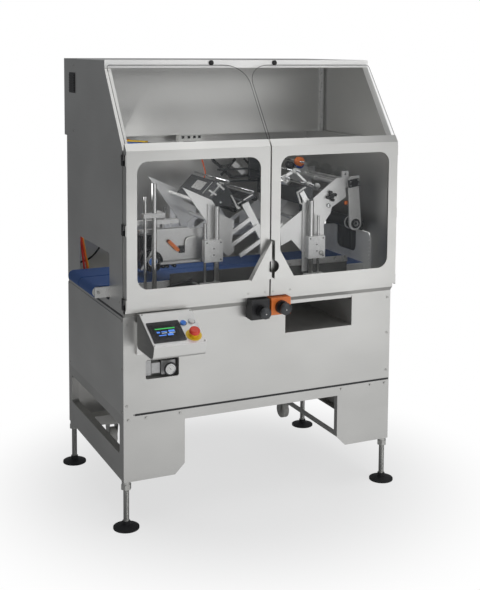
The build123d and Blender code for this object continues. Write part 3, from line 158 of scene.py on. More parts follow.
def footFinish(name, metal, pad, padTop):
    # black pad below a height, threaded metal above it
    material, shader = newMaterial(name, metal, 0.3)
    add, link = material.node_tree.nodes.new, material.node_tree.links.new
    place = add("ShaderNodeTexCoord")
    split = add("ShaderNodeSeparateXYZ")
    above = add("ShaderNodeMath")
    above.operation = "GREATER_THAN"
    above.inputs[1].default_value = padTop
    wave = add("ShaderNodeTexWave")
    wave.bands_direction = "Z"
    wave.inputs["Scale"].default_value = 140.0
    threads = add("ShaderNodeMath")
    threads.operation = "MULTIPLY"
    link(place.outputs["Object"], split.inputs[0])
    link(place.outputs["Object"], wave.inputs["Vector"])
    link(split.outputs["Z"], above.inputs[0])
    link(wave.outputs["Fac"], threads.inputs[0])
    link(above.outputs[0], threads.inputs[1])
    for socket, low, high in (("Base Color", pad, metal), ("Metallic", 0.0, 0.95),
                              ("Roughness", 0.5, 0.28)):
        ramp(material, shader, socket, above.outputs[0], low, high, 0.4, 0.6)
    bump(material, shader, threads.outputs[0], 0.6, 0.001)
    return material


finishes = {
    "panelGrey": (0.60, 0.597, 0.58),
    "frameGrey": (0.55, 0.547, 0.53),
    "aluminiumGrey": (0.82, 0.82, 0.81),
    "beltBlue": (0.045, 0.135, 0.42),
    "orange": (1.0, 0.23, 0.04),
    "yellow": (0.93, 0.66, 0.03),
    "red": (0.80, 0.06, 0.03),
    "blue": (0.05, 0.22, 0.75),
    # painted shade: the steel tone for the console's shaded side and the skirt along the belt
    "paintedShadeSteel": (0.17, 0.17, 0.165),
}
slotMaterials = {
    "panel": brushedSteel("brushed panel", finishes["panelGrey"]),
    "frame": brushedSteel("brushed frame", finishes["frameGrey"], 0.42),
    "zinc": plainMetal("zinc plate", (0.55, 0.55, 0.53), 0.34),
    "chrome": plainMetal("polished chrome", (0.78, 0.79, 0.80), 0.10, 1.0, 8.0),
    "aluminium": plainMetal("anodised aluminium", finishes["aluminiumGrey"], 0.36, 0.6, 220.0),
    "clear": clearSheet("clear acrylic", (0.10, 0.11, 0.115), 0.06),
    "black_plastic": plastic("black plastic", (0.018, 0.018, 0.02), 0.42),
    "dark_metal": plainMetal("dark coating", (0.075, 0.078, 0.082), 0.42, 0.6, 150.0),
    "screen": plastic("black screen frame", (0.012, 0.012, 0.014), 0.2, 0.4, 300.0, 0.02),
    "belt": weave("blue belt", finishes["beltBlue"]),
    "rubber": plastic("black rubber", (0.02, 0.02, 0.02), 0.62, 0.0, 500.0, 0.2),
    "red_plastic": plastic("red plastic", finishes["red"], 0.3, 0.2),
    "blue_plastic": plastic("blue plastic", finishes["blue"], 0.25, 0.3),
    "white_plastic": plastic("white plastic", (0.80, 0.80, 0.78), 0.35),
    "yellow_plastic": plastic("yellow plastic", finishes["yellow"], 0.38),
    "orange_plastic": plastic("orange plastic", finishes["orange"], 0.38),
    "nylon": plastic("off-white wheel", (0.70, 0.69, 0.66), 0.45),
    "glossWhite": plastic("white coating", (0.82, 0.82, 0.80), 0.25, 0.2),
    # painted shade: a dark copy of the brushed steel for the console's shaded side
    "cheekPaintedShade": brushedSteel("cheek painted shade", finishes["paintedShadeSteel"], 0.4, 0.6),
    "skirtPaintedShade": plainMetal("skirt painted shade", finishes["paintedShadeSteel"], 0.42, 0.6, 120.0),
    "lightMetal": plainMetal("light metal", (0.80, 0.80, 0.79), 0.3, 0.8, 120.0),
    "copper": plastic("orange cable", (0.85, 0.13, 0.02), 0.4),
    "yellowCable": plastic("yellow cable", (0.85, 0.55, 0.03), 0.4),
    "redCable": plastic("red cable", (0.55, 0.02, 0.015), 0.4),
    "blueCable": plastic("blue cable", (0.03, 0.12, 0.45), 0.4),
    "blackGloss": plastic("gloss black", (0.01, 0.01, 0.012), 0.12, 0.5),
    "dial": plastic("white dial", (0.85, 0.85, 0.83), 0.4),
    "green": glow("green bar", (0.05, 0.6, 0.12), 0.5),
    "paleBlue": glow("blue bar", (0.08, 0.25, 0.8), 0.6),
    "pale": glow("pale bar", (0.6, 0.7, 0.85), 0.4),
}
# finishes for some of the record's nodes, used in place of their slot's finish
nodeFinishes = {
    "hood_header": brushedSteel("header finish", (0.86, 0.857, 0.84), 0.4, 0.6),
    # painted highlight: the lid's steel is a lighter copy of the panel steel, for light on the
    # sloping top
    "console_lid": brushedSteel("lid painted highlight", (0.86, 0.857, 0.845), 0.36, 0.45),
    "console_box": brushedSteel("console finish", (0.70, 0.697, 0.68), 0.32, 0.8),
    "outfeed_guard": plastic("guard plate", (0.86, 0.86, 0.845), 0.45),
    "head_clamps": plainMetal("clamp finish", (0.86, 0.86, 0.85), 0.4, 0.3, 120.0),
    "air_pocket": brushedSteel("pocket finish", (0.62, 0.618, 0.605), 0.5, 0.3),
    "air_regulator": plainMetal("regulator body", (0.50, 0.50, 0.50), 0.35, 0.6, 150.0),
    "waste_tray": brushedSteel("tray finish", (0.60, 0.598, 0.585), 0.4, 0.7),
    "dancer_arm": plainMetal("arm finish", (0.80, 0.80, 0.79), 0.42, 0.5, 120.0),
    "guide_columns": plainMetal("column finish", (0.60, 0.60, 0.595), 0.2, 1.0, 8.0),
    "guide_bracket": plainMetal("guide finish", (0.50, 0.50, 0.495), 0.34, 0.75, 120.0),
    "column_feet": plastic("foot block white", (0.88, 0.88, 0.86), 0.4),
    "conveyor_belts": weave("belt finish", (0.032, 0.095, 0.29)),
    "door_hinge_leaves": plastic("hinge black", (0.02, 0.02, 0.022), 0.45),
}
footMaterial = footFinish("levelling foot", (0.5, 0.5, 0.48), (0.022, 0.022, 0.024), 0.030)
for entry in frame["record"]["subparts"]:
    if entry["node"].startswith("foot_"):
        finish = footMaterial
    else:
        finish = nodeFinishes.get(entry["node"], slotMaterials[entry["material_slot"]])
    nodeMesh = nodes[entry["node"]].data
    nodeMesh.materials.clear()
    nodeMesh.materials.append(finish)
print("nodes painted")


# pieces

def placePiece(mesh, name, body, smooth=False):
    piece = bpy.data.objects.new(name, mesh)
    bpy.context.collection.objects.link(piece)
    for polygon in mesh.polygons:
        polygon.use_smooth = smooth
    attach(piece, body)


def put(name, build, material, body, smooth=False):
    data = bmesh.new()
    build(data)
    bmesh.ops.recalc_face_normals(data, faces=data.faces)
    mesh = bpy.data.meshes.new(name)
    data.to_mesh(mesh)
    data.free()
    mesh.materials.append(slotMaterials[material])
    placePiece(mesh, name, body, smooth)


def joined(builders):
    def build(data):
        for builder in builders:
            builder(data)
    return build


def walls(data, near, far):
    # faces between two rings of points; a ring of one point is a tip
    count = max(len(near), len(far))
    for i in range(count):
        j = (i + 1) % count
        corners = dict.fromkeys((near[i % len(near)], near[j % len(near)],
                                 far[j % len(far)], far[i % len(far)]))
        if len(corners) > 2:
            data.faces.new(list(corners))


def prism(data, near, far):
    data.faces.new(near)
    data.faces.new(far[::-1])
    walls(data, near, far)


def ring(data, centre, across, other, radius, segments):
    return [data.verts.new(centre + (across * cos(2 * pi * i / segments)
                                     + other * sin(2 * pi * i / segments)) * radius)
            for i in range(segments)]


def turned(profile, centre, axis, segments=40):
    # a lathe shape: profile points are (radius, distance along the axis)
    def build(data):
        side = Vector(axis).normalized()
        across = side.orthogonal().normalized()
        other = side.cross(across)
        rings = []
        for radius, along in profile:
            base = Vector(centre) + side * along
            rings.append(ring(data, base, across, other, radius, segments) if radius > 0
                         else [data.verts.new(base)])
        for near, far in zip(rings, rings[1:]):
            walls(data, near, far)
    return build


def flatRing(centre, inner, outer, thickness, segments=48):
    # a washer that faces the front
    def build(data):
        loops = []
        for i in range(segments):
            angle = 2 * pi * i / segments
            way = Vector((sin(angle), 0, cos(angle)))
            loops.append([data.verts.new(centre + way * radius - Vector((0, out, 0)))
                          for radius, out in ((inner, 0), (outer, 0), (outer, thickness),
                                              (inner, thickness))])
        for i in range(segments):
            walls(data, loops[i], loops[(i + 1) % segments])
    return build


def boxes(corners):
    def build(data):
        for low, high in corners:
            centre = (Vector(low) + Vector(high)) / 2
            size = Vector(high) - Vector(low)
            bmesh.ops.create_cube(data, size=1.0, matrix=Matrix.Translation(centre)
                                  @ Matrix.Diagonal((*size, 1)))
    return build


def sideBox(side, xs, ys, zs):
    # a box given for the right (side 1), or its mirror image on the left (side -1)
    low, high = sorted(side * x for x in xs)
    return (low, ys[0], zs[0]), (high, ys[1], zs[1])


def pipe(places, radius, segments, reference):
    # a round tube through points; none of its runs lies along the reference
    def build(data):
        rings = []
        for i, place in enumerate(places):
            ahead = places[min(i + 1, len(places) - 1)] - places[max(i - 1, 0)]
            ahead.normalize()
            across = ahead.cross(Vector(reference)).normalized()
            rings.append(ring(data, place, across, ahead.cross(across), radius, segments))
        for near, far in zip(rings, rings[1:]):
            walls(data, near, far)
        data.faces.new(rings[0])
        data.faces.new(rings[-1][::-1])
    return build


# screws and bolts: geometry nodes put a head on each point, turned to the point's axis
heads = {"rise": 0.4, "socketDepth": 0.55}  # shares of a head's height


def headTree(sides, socket):
    tree = bpy.data.node_groups.new("fastener heads", "GeometryNodeTree")
    for name, kind in (("Points", "Geometry"), ("Radius", "Float"), ("Height", "Float"),
                       ("Material", "Material")):
        tree.interface.new_socket(name, in_out="INPUT", socket_type="NodeSocket" + kind)
    tree.interface.new_socket("Heads", in_out="OUTPUT", socket_type="NodeSocketGeometry")
    add, link = tree.nodes.new, tree.links.new
    entry = add("NodeGroupInput")
    leave = add("NodeGroupOutput")
    head = add("GeometryNodeMeshCylinder")
    head.inputs["Vertices"].default_value = sides
    link(entry.outputs["Radius"], head.inputs["Radius"])
    link(entry.outputs["Height"], head.inputs["Depth"])
    shape = head.outputs["Mesh"]
    if socket:
        inset = add("GeometryNodeExtrudeMesh")
        inset.mode = "FACES"
        inset.inputs["Offset Scale"].default_value = 0.0
        link(shape, inset.inputs["Mesh"])
        link(head.outputs["Top"], inset.inputs["Selection"])
        shrink = add("GeometryNodeScaleElements")
        shrink.inputs["Scale"].default_value = socket
        link(inset.outputs["Mesh"], shrink.inputs["Geometry"])
        link(inset.outputs["Top"], shrink.inputs["Selection"])
        sink = add("GeometryNodeExtrudeMesh")
        sink.mode = "FACES"
        depth = add("ShaderNodeMath")
        depth.operation = "MULTIPLY"
        depth.inputs[1].default_value = -heads["socketDepth"]
        link(entry.outputs["Height"], depth.inputs[0])
        link(depth.outputs[0], sink.inputs["Offset Scale"])
        link(shrink.outputs["Geometry"], sink.inputs["Mesh"])
        link(inset.outputs["Top"], sink.inputs["Selection"])
        shape = sink.outputs["Mesh"]
    place = add("GeometryNodeInstanceOnPoints")
    axis = add("GeometryNodeInputNamedAttribute")
    axis.data_type = "FLOAT_VECTOR"
    axis.inputs["Name"].default_value = "axis"
    align = add("FunctionNodeAlignEulerToVector")
    align.axis = "Z"
    link(axis.outputs["Attribute"], align.inputs["Vector"])
    link(entry.outputs["Points"], place.inputs["Points"])
    link(shape, place.inputs["Instance"])
    link(align.outputs["Rotation"], place.inputs["Rotation"])
    real = add("GeometryNodeRealizeInstances")
    paint = add("GeometryNodeSetMaterial")
    link(place.outputs["Instances"], real.inputs["Geometry"])
    link(real.outputs["Geometry"], paint.inputs["Geometry"])
    link(entry.outputs["Material"], paint.inputs["Material"])
    link(paint.outputs["Geometry"], leave.inputs["Heads"])
    return tree


socketHeads, hexHeads = headTree(14, 0.5), headTree(6, 0)


def runNodes(seed, tree, values):
    # the tree's result as a plain mesh; the seed goes
    modifier = seed.modifiers.new("nodes", "NODES")
    modifier.node_group = tree
    names = {item.name: item.identifier for item in tree.interface.items_tree
             if item.in_out == "INPUT"}
    for label, value in values.items():
        modifier[names[label]] = value
    seed.update_tag()
    bpy.context.view_layer.update()
    solved = seed.evaluated_get(bpy.context.evaluated_depsgraph_get())
    mesh = bpy.data.meshes.new_from_object(solved)
    bpy.data.objects.remove(seed)
    return mesh


def fasteners(name, body, spots, size, material="zinc", tree=socketHeads):
    # spots are (x, y, z, axis), and size is a head's radius and height
    radius, height = size
    mesh = bpy.data.meshes.new(name)
    mesh.from_pydata([tuple(Vector(spot[:3]) + Vector(spot[3]).normalized() * height
                            * heads["rise"]) for spot in spots], [], [])
    axis = mesh.attributes.new("axis", "FLOAT_VECTOR", "POINT")
    axis.data.foreach_set("vector", [c for spot in spots for c in spot[3]])
    seed = bpy.data.objects.new(name + " seed", mesh)
    bpy.context.collection.objects.link(seed)
    solved = runNodes(seed, tree, {"Radius": radius, "Height": height,
                                   "Material": slotMaterials[material]})
    placePiece(solved, name, body)


toFront, toBack, upward = (0, -1, 0), (0, 1, 0), (0, 0, 1)


def frontSpots(points, depth=0):
    return [(leftX + x * mm, frontY + depth * mm, z * mm, toFront) for x, z in points]


doorScrews = {"left_door": [(496, 873), (569, 873)], "right_door": [(603, 873), (679, 873)],
              "depth": -36, "size": (0.0038, 0.002)}
for body in ("left_door", "right_door"):
    fasteners(body + "_screws", body, frontSpots(doorScrews[body], doorScrews["depth"]),
              doorScrews["size"])

housingScrews = {
    "side": [(18, 455), (18, 800), (18, 620), (730, 455), (730, 620), (730, 800), (18, 845),
             (40, 870), (18, 1420), (730, 845), (730, 870), (730, 1420), (640, 1740), (640, 1470)],
    "sideSize": (0.0042, 0.0022),
    "apron": [(20, 425), (90, 425), (228, 425), (940, 425), (1078, 425), (1148, 425)],
    "apronSize": (0.0058, 0.0042),
    "cabinet": [(14, 480), (14, 790), (1154, 480), (1154, 640), (1154, 790)],
    "cabinetSize": (0.005, 0.003),
}
fasteners("side_screws", "machine",
          [(side * rightX, frontY + depth * mm, z * mm, (side, 0, 0))
           for side in (-1, 1) for depth, z in housingScrews["side"]], housingScrews["sideSize"])
fasteners("apron_bolts", "machine", frontSpots(housingScrews["apron"]),
          housingScrews["apronSize"], tree=hexHeads)
fasteners("cabinet_screws", "machine", frontSpots(housingScrews["cabinet"]),
          housingScrews["cabinetSize"])
print("screws placed")

# rubber stops on the header, that the doors close on
stops = {"x": (441, 722), "z": 1760, "depth": 0.2115, "radius": 0.010, "height": 0.006}
radius, height = stops["radius"], stops["height"]
for index, x in enumerate(stops["x"]):
    put(f"door_stop_{index}",
        turned([(0, 0), (radius, 0), (radius, height * 0.7), (radius * 0.8, height), (0, height)],
               (leftX + x * mm, frontY + stops["depth"], stops["z"] * mm), toFront),
        "rubber", "machine", True)

# the console's sloping lid
lidSlope = radians(28.0)
lidUp = Vector((0, cos(lidSlope), sin(lidSlope)))
lidOut = Vector((0, -sin(lidSlope), cos(lidSlope)))
lidCrest = Vector((leftX, frontY - 0.044, 0.837))


def onLid(x, down, above):
    # millimetres to the right, down the slope and off the surface
    return lidCrest + Vector((x * mm, 0, 0)) - lidUp * down * mm + lidOut * above * mm


def lidPatch(patches, above, thickness):
    def build(data):
        for x0, x1, down0, down1 in patches:
            bottom, top = ([data.verts.new(onLid(x, down, level)) for x, down in
                            ((x0, down0), (x1, down0), (x1, down1), (x0, down1))]
                           for level in (above, above + thickness))
            data.faces.new(top)
            walls(data, bottom, top)
    return build


# dark display behind the screen's frame, with plain bars in place of its picture: each part's
# finish, height above the lid, thickness and patches (x from and to, down from and to)
display = {
    "glass": ("blackGloss", 4.7, 0.3, [(69, 164, 79, 139)]),
    "green": ("green", 5.0, 0.12, [(78, 155, 88, 93)]),
    "blue": ("paleBlue", 5.0, 0.12, [(80, 92, 104, 112), (98, 120, 104, 108), (126, 150, 100, 110),
                                     (84, 112, 122, 127), (118, 140, 118, 128)]),
    "pale": ("pale", 5.0, 0.12, [(98, 118, 112, 115), (126, 150, 113, 116)]),
}
for part, (material, above, thickness, patches) in display.items():
    put("display_" + part, lidPatch(patches, above, thickness), material, "machine")
lidScrews = {"spots": ((56, 5), (247, 6), (245, 172), (51, 172)), "above": 2.5,
             "size": (0.0034, 0.002)}
fasteners("lid_screws", "machine", [(*onLid(x, down, lidScrews["above"]), tuple(lidOut))
                                    for x, down in lidScrews["spots"]], lidScrews["size"])

# thin dark plate on the console's left side, painted shade over the same steel: corners are depth
# and height
cheek = {"x": (-536.5, -536), "level": 0.82,
         "outline": ((-20, 14), (-42, 15.5), (-199, -68), (-196, -90), (-186, -106), (-172, -114),
                     (-31, -114), (-20, -103))}


def cheekShadePlate(data):
    prism(data, *([data.verts.new((x * mm, frontY + depth * mm, cheek["level"] + up * mm))
                   for depth, up in cheek["outline"]] for x in cheek["x"]))


put("console_cheek_painted_shade", cheekShadePlate, "cheekPaintedShade", "machine")
print("console done")

# pressure gauge: dial, ticks, needle, bright rim and black collar
gauge = {"centre": Vector((leftX + 0.187, frontY - 0.002, 0.604)), "dial": (0.0182, 0.0006),
         "rim": ((0.0180, 0), (0.0203, 0), (0.0203, 0.0022), (0.0192, 0.003), (0.0180, 0.0022)),
         "collar": (0.0204, 0.0262, 0.003), "collarBack": 0.002,
         "firstTick": -135, "tickStep": 27, "ticks": 11, "tickReach": (0.0135, 0.0165),
         "tickHalf": 0.0004, "tickOut": 0.0008, "needle": -40, "needleReach": 0.013,
         "needleTail": 0.004, "needleHalf": 0.0007, "needleOut": 0.0011}


def gaugeMarks(data):
    def clockHand(degrees, half, out):
        angle = radians(degrees)
        return (gauge["centre"] - Vector((0, out, 0)), Vector((sin(angle), 0, cos(angle))),
                Vector((cos(angle), 0, -sin(angle))) * half)

    inner, outer = gauge["tickReach"]
    for i in range(gauge["ticks"]):
        base, way, side = clockHand(gauge["firstTick"] + gauge["tickStep"] * i,
                                    gauge["tickHalf"], gauge["tickOut"])
        data.faces.new([data.verts.new(base + way * reach + edge) for reach, edge in
                        ((inner, -side), (inner, side), (outer, side), (outer, -side))])
    base, way, side = clockHand(gauge["needle"], gauge["needleHalf"], gauge["needleOut"])
    tail = base - way * gauge["needleTail"]
    data.faces.new([data.verts.new(corner) for corner in
                    (tail - side, tail + side, base + way * gauge["needleReach"])])


dialRadius, dialOut = gauge["dial"]
put("gauge_dial", turned([(0, 0), (dialRadius, 0), (dialRadius, dialOut), (0, dialOut)],
                         gauge["centre"], toFront), "dial", "machine")
put("gauge_rim", turned(gauge["rim"], gauge["centre"], toFront), "chrome", "machine", True)
put("gauge_marks", gaugeMarks, "black_plastic", "machine")
put("gauge_collar", flatRing(gauge["centre"] + Vector((0, gauge["collarBack"], 0)),
                             *gauge["collar"]), "black_plastic", "machine", True)
print("gauge done")


# small pieces on the working parts, placed by X from the middle, depth from the cabinet's front
# and height above the bed, all in millimetres

def atBed(x, depth, up):
    return Vector((x * mm, frontY + depth * mm, bedZ + up * mm))


def bedSpots(points):
    return [(*atBed(*point), toFront) for point in points]


def blocks(items):
    # each item: x from and to, near and far depth, low and high
    return boxes([(atBed(x0, y0, z0), atBed(x1, y1, z1)) for x0, x1, y0, y1, z0, z1 in items])


def rods(items):
    # round bars from front to back: x, height, radius, near and far depth
    return joined([turned([(0, 0), (radius * mm, 0), (radius * mm, (far - near) * mm),
                           (0, (far - near) * mm)], atBed(x, near, up), toBack, 24)
                   for x, up, radius, near, far in items])


def slabs(outlines):
    # flat shapes that face the front: corners (x, up), then near and far depth
    def build(data):
        for corners, near, far in outlines:
            prism(data, *([data.verts.new(atBed(x, depth, up)) for x, up in corners]
                          for depth in (near, far)))
    return build


def strips(bars):
    # flat bars that face the front: near and far depth, then start, end and width of each
    near, far, lines = bars
    outlines = []
    for (x0, z0), (x1, z1), width in lines:
        way = Vector((x1 - x0, z1 - z0)).normalized() * width / 2
        outlines.append((((x0 - way.y, z0 + way.x), (x1 - way.y, z1 + way.x),
                          (x1 + way.y, z1 - way.x), (x0 + way.y, z0 - way.x)), near, far))
    return slabs(outlines)


def hose(points, radius):
    # a round tube on a smooth line through its points
    places = [atBed(*point) for point in points]
    path = []
    for i in range(len(places) - 1):
        before, start = places[max(i - 1, 0)], places[i]
        stop, after = places[i + 1], places[min(i + 2, len(places) - 1)]
        for step in range(6):
            t = step / 6
            path.append(0.5 * (2 * start + (stop - before) * t
                               + (2 * before - 5 * start + 4 * stop - after) * t * t
                               + (3 * start - before - 3 * stop + after) * t ** 3))
    path.append(places[-1])
    return pipe(path, radius * mm, 10, (0.13, 0.21, 0.97))


def putGroup(body, pieces):
    # each piece: finish, shape and the shape's sizes
    for name, (material, shape, sizes) in pieces.items():
        put(name, shape(sizes), material, body, shape is rods)


# press wheel: its guard stands on the guide plate, with the wheel's hub and ring in front of it
pressWheel = {"x": -397, "up": 150, "guardDepth": 196.9, "guard": (0.0075, 0.042, 0.0068),
              "hubDepth": 189.6, "ring": (0.0172, 0.0195, 0.0012),
              "hub": ((0, 0), (0.017, 0), (0.016, 0.002), (0, 0.002))}
wheelFace = atBed(pressWheel["x"], pressWheel["hubDepth"], pressWheel["up"])
put("wheel_guard", flatRing(atBed(pressWheel["x"], pressWheel["guardDepth"], pressWheel["up"]),
                            *pressWheel["guard"]), "black_plastic", "guide", True)
put("wheel_hub", turned(pressWheel["hub"], wheelFace, toFront), "blue_plastic", "wheel")
put("wheel_ring", flatRing(wheelFace, *pressWheel["ring"]), "glossWhite", "wheel")

# guide beside the wheel: blade, rollers on a rail, motor cover, hook, cap, block and screws
guidePieces = {
    "guide_blade": ("lightMetal", strips, (181, 185, [((-448, 122), (-394, 206), 7)])),
    "guide_rollers": ("rubber", rods, [(x, 124, 7.5, 204, 232) for x in (-348, -330, -300)]),
    "guide_roller_pins": ("chrome", rods, [(x, 124, 2.6, 203, 206) for x in (-348, -330, -300)]),
    "guide_roller_rail": ("dark_metal", blocks, [(-356, -180, 206, 214, 129, 137)]),
    "motor_cover": ("black_plastic", blocks, [(-422.6, -346.4, 261.4, 382.6, 105.4, 243.6)]
                    + [(-424, -345, 300 + 16 * i, 306 + 16 * i, 104.6, 244.4) for i in range(5)]),
    "guide_hook": ("zinc", slabs, [(((-262, 204), (-262, 224), (-256, 234), (-247, 238),
                                     (-217, 241), (-217, 235), (-246, 232), (-252, 228),
                                     (-256, 221), (-256, 204)), 190, 197)]),
    "guide_cap": ("dark_metal", blocks, [(-226, -190, 203, 246, 148, 232)]),
    "guide_block": ("black_plastic", blocks, [(-286, -262, 190, 197, 176, 204)]),
}
putGroup("guide", guidePieces)
guideScrews = {"spots": ((-372, 197, 255), (-372, 197, 215), (-236, 197, 205), (-236, 197, 160),
                         (-206, 197, 252), (-286, 197, 252), (-320, 197, 158), (-195, 197, 180),
                         (-448, 135, 340), (-372, 135, 340)), "size": (0.0028, 0.0015)}
fasteners("guide_screws", "guide", bedSpots(guideScrews["spots"]), guideScrews["size"])

# five fixing holes in each clamp plate, drawn as black discs of painted shade, a round stop on the
# right one and scale marks on the foot
clamps = {"plates": ((-199, 140, 78, 87), (267, 120, 78, 92)),  # left, low, width and height
          "inset": 9, "middle": (0.62, 0.33), "depth": 135.2, "holeSize": (0.003, 0.0008),
          "stop": ((0, 0), (0.010, 0), (0.010, 0.003), (0.008, 0.004), (0, 0.004)),
          "stopPlace": (326, 135, 141)}
clampHoleShade = []
inset, (upper, lower) = clamps["inset"], clamps["middle"]
for left, low, wide, tall in clamps["plates"]:
    clampHoleShade += [(x, clamps["depth"], up) for x, up in
                   ((left + inset, low + tall - inset), (left + wide / 2, low + tall * upper),
                    (left + wide / 2, low + tall * lower), (left + wide - inset, low + inset),
                    (left + wide - inset, low + tall - inset))]
# painted shade: black discs in place of the holes
fasteners("clamp_hole_shade", "head", bedSpots(clampHoleShade), clamps["holeSize"], "black_plastic")
put("clamp_stop", turned(clamps["stop"], atBed(*clamps["stopPlace"]), toFront), "zinc", "head",
    True)
footMarks = {"x": range(-196, -150, 6), "width": 3, "depth": (118.8, 119.6), "z": (30, 36)}
put("foot_marks", blocks([(x, x + footMarks["width"], *footMarks["depth"], *footMarks["z"])
                          for x in footMarks["x"]]), "black_plastic", "machine")


# chute: windows, edges and hooks on the two trays, and rods and rollers beside them
def trayPatch(tray, along, depth, thickness):
    (x0, z0), (x1, z1) = tray
    way = Vector((x1 - x0, z1 - z0)).normalized()

    def corner(share, depth, above):
        return atBed(x0 + (x1 - x0) * share - way.y * above, depth,
                     z0 + (z1 - z0) * share + way.x * above)

    def build(data):
        prism(data, *([data.verts.new(corner(share, deep, above)) for share, deep in
                       ((along[0], depth[0]), (along[1], depth[0]), (along[1], depth[1]),
                        (along[0], depth[1]))]
                      for above in (trays["gap"], trays["gap"] + thickness)))
    return build


def trayPatches(items):
    # tray, share of its length, depths and thickness of each patch
    return joined([trayPatch(trays[tray], *sizes) for tray, *sizes in items])


trays = {"first": ((-144, 385), (-87, 443)), "second": ((-26, 356), (45, 393)), "gap": 0.2}
trayPieces = {
    "tray_window": ("lightMetal", trayPatches, (("first", (0.25, 0.78), (350, 450), 1.2),
                                                ("first", (0.12, 0.9), (212, 222), 5),
                                                ("first", (0.12, 0.9), (300, 306), 3))),
    "tray_dark": ("black_plastic", trayPatches, (("second", (0.25, 0.8), (240, 300), 2),
                                                 ("second", (0.2, 0.85), (340, 420), 2))),
    "tray_edges": ("lightMetal", trayPatches, (("second", (0.92, 1.0), (200, 548), 2.5),
                                               ("second", (0.0, 1.0), (200, 206), 3),
                                               ("first", (0.94, 1.0), (200, 240), 4))),
    "tray_hooks": ("glossWhite", strips, (190, 198, [
        ((-121, 447), (-92, 420), 7), ((-156, 420), (-126, 400), 7), ((-60, 396), (-34, 346), 5),
        ((-34, 346), (-26, 340), 9)])),
    "tray_rods": ("chrome", rods, [(x, up, 4, 196, 554) for x, up in
                                   ((-70, 452), (-104, 368), (40, 404), (-20, 340))]),
    "tray_rollers": ("rubber", rods, [(60, 372, 9, 215, 535), (-34, 330, 9, 215, 535)]),
}
putGroup("head", trayPieces)
print("guide and chute pieces done")

# print head and web path: bracket, rods with collars, links, coloured knobs and a second roller
webPieces = {
    "head_bracket": ("glossWhite", strips, (156, 164, [
        ((222, 394), (262, 417), 5), ((224, 396), (240, 350), 5), ((240, 350), (250, 346), 5)])),
    "head_bracket_plate": ("lightMetal", strips, (158, 163, [((244, 398), (268, 356), 22)])),
    "web_collars": ("white_plastic", rods, [(x, up, 11, near, near + 14) for x, up, near in (
        (253, 477, 225), (318, 418, 225), (203, 452, 225), (358, 409, 225), (372, 388, 300),
        (372, 388, 430), (409, 428, 330), (437, 432, 470))]),
    "web_rods": ("chrome", rods, [(253, 477, 4, 190, 560), (318, 418, 4, 190, 560),
                                  (203, 452, 5, 190, 560), (329, 503, 4, 300, 560)]),
    "web_rod_blocks": ("dark_metal", blocks, [(190, 340, 556, 566, 405, 515)]),
    "web_links": ("lightMetal", strips, (240, 246, [
        ((203, 452), (253, 477), 12), ((253, 477), (318, 418), 9), ((318, 418), (372, 388), 10)])),
    "knob_orange": ("orange_plastic", rods, [(329, 503, 20, 330, 352)]),
    "knob_blue": ("blueCable", rods, [(340, 488, 18, 352, 376), (296, 490, 12, 352, 380)]),
    "knob_black": ("black_plastic", rods, [(274, 492, 15, 312, 340)]),
    "web_roller": ("lightMetal", rods, [(225, 430, 15, 250, 420)]),
    "small_orange_clip": ("orange_plastic", blocks, [(462, 476, 178, 184, 330, 345)]),
}
putGroup("head", webPieces)
headNut = {"profile": ((0, 0), (0.009, 0), (0.009, 0.005), (0.006, 0.007), (0, 0.007)),
           "place": (381, 177, 331)}
put("head_nut", turned(headNut["profile"], atBed(*headNut["place"]), toFront), "chrome", "head",
    True)

# block at the end of the dancer arm, the ring of its bearing, and the label roll's flange and core
dancer = {"block": [(((468, 404), (464, 436), (514, 443), (520, 412)), 150, 160)],
          "screws": ((474, 150, 412), (472, 150, 430), (508, 150, 436), (512, 150, 418)),
          "screwSize": (0.004, 0.0015),
          "bearingPlace": (505, 160, 249), "bearing": (0.0068, 0.0205, 0.003),
          "bearingRingPlace": (505, 157, 249), "bearingRing": (0.0068, 0.012, 0.002)}
roll = {"flange": [(505, 249, 53, 544, 547)],
        "core": [(505, 249, 28, 200, 206), (505, 249, 28, 540, 544)]}
put("arm_block", slabs(dancer["block"]), "black_plastic", "dancer")
fasteners("arm_block_screws", "dancer", bedSpots(dancer["screws"]), dancer["screwSize"], "chrome")
put("arm_bearing", flatRing(atBed(*dancer["bearingPlace"]), *dancer["bearing"]), "black_plastic",
    "dancer")
put("arm_bearing_ring", flatRing(atBed(*dancer["bearingRingPlace"]), *dancer["bearingRing"]),
    "chrome", "dancer")
put("roll_flange", rods(roll["flange"]), "clear", "spindle", True)
put("roll_core", rods(roll["core"]), "white_plastic", "spindle", True)
print("head pieces done")

# machinery behind the head
rearPieces = {
    "rear_frame": ("black_plastic", strips, (566, 574, [
        ((20, 500), (110, 420), 12), ((110, 420), (235, 424), 10), ((60, 430), (130, 500), 10),
        ((170, 500), (240, 430), 8)])),
    "rear_labels": ("glossWhite", strips, (562, 565, [((118, 480), (142, 460), 24),
                                                      ((146, 456), (168, 434), 24)])),
    "rear_rods": ("dark_metal", strips, (560, 566, [((40, 455), (230, 455), 8),
                                                    ((30, 404), (240, 398), 8)])),
}
putGroup("head", rearPieces)

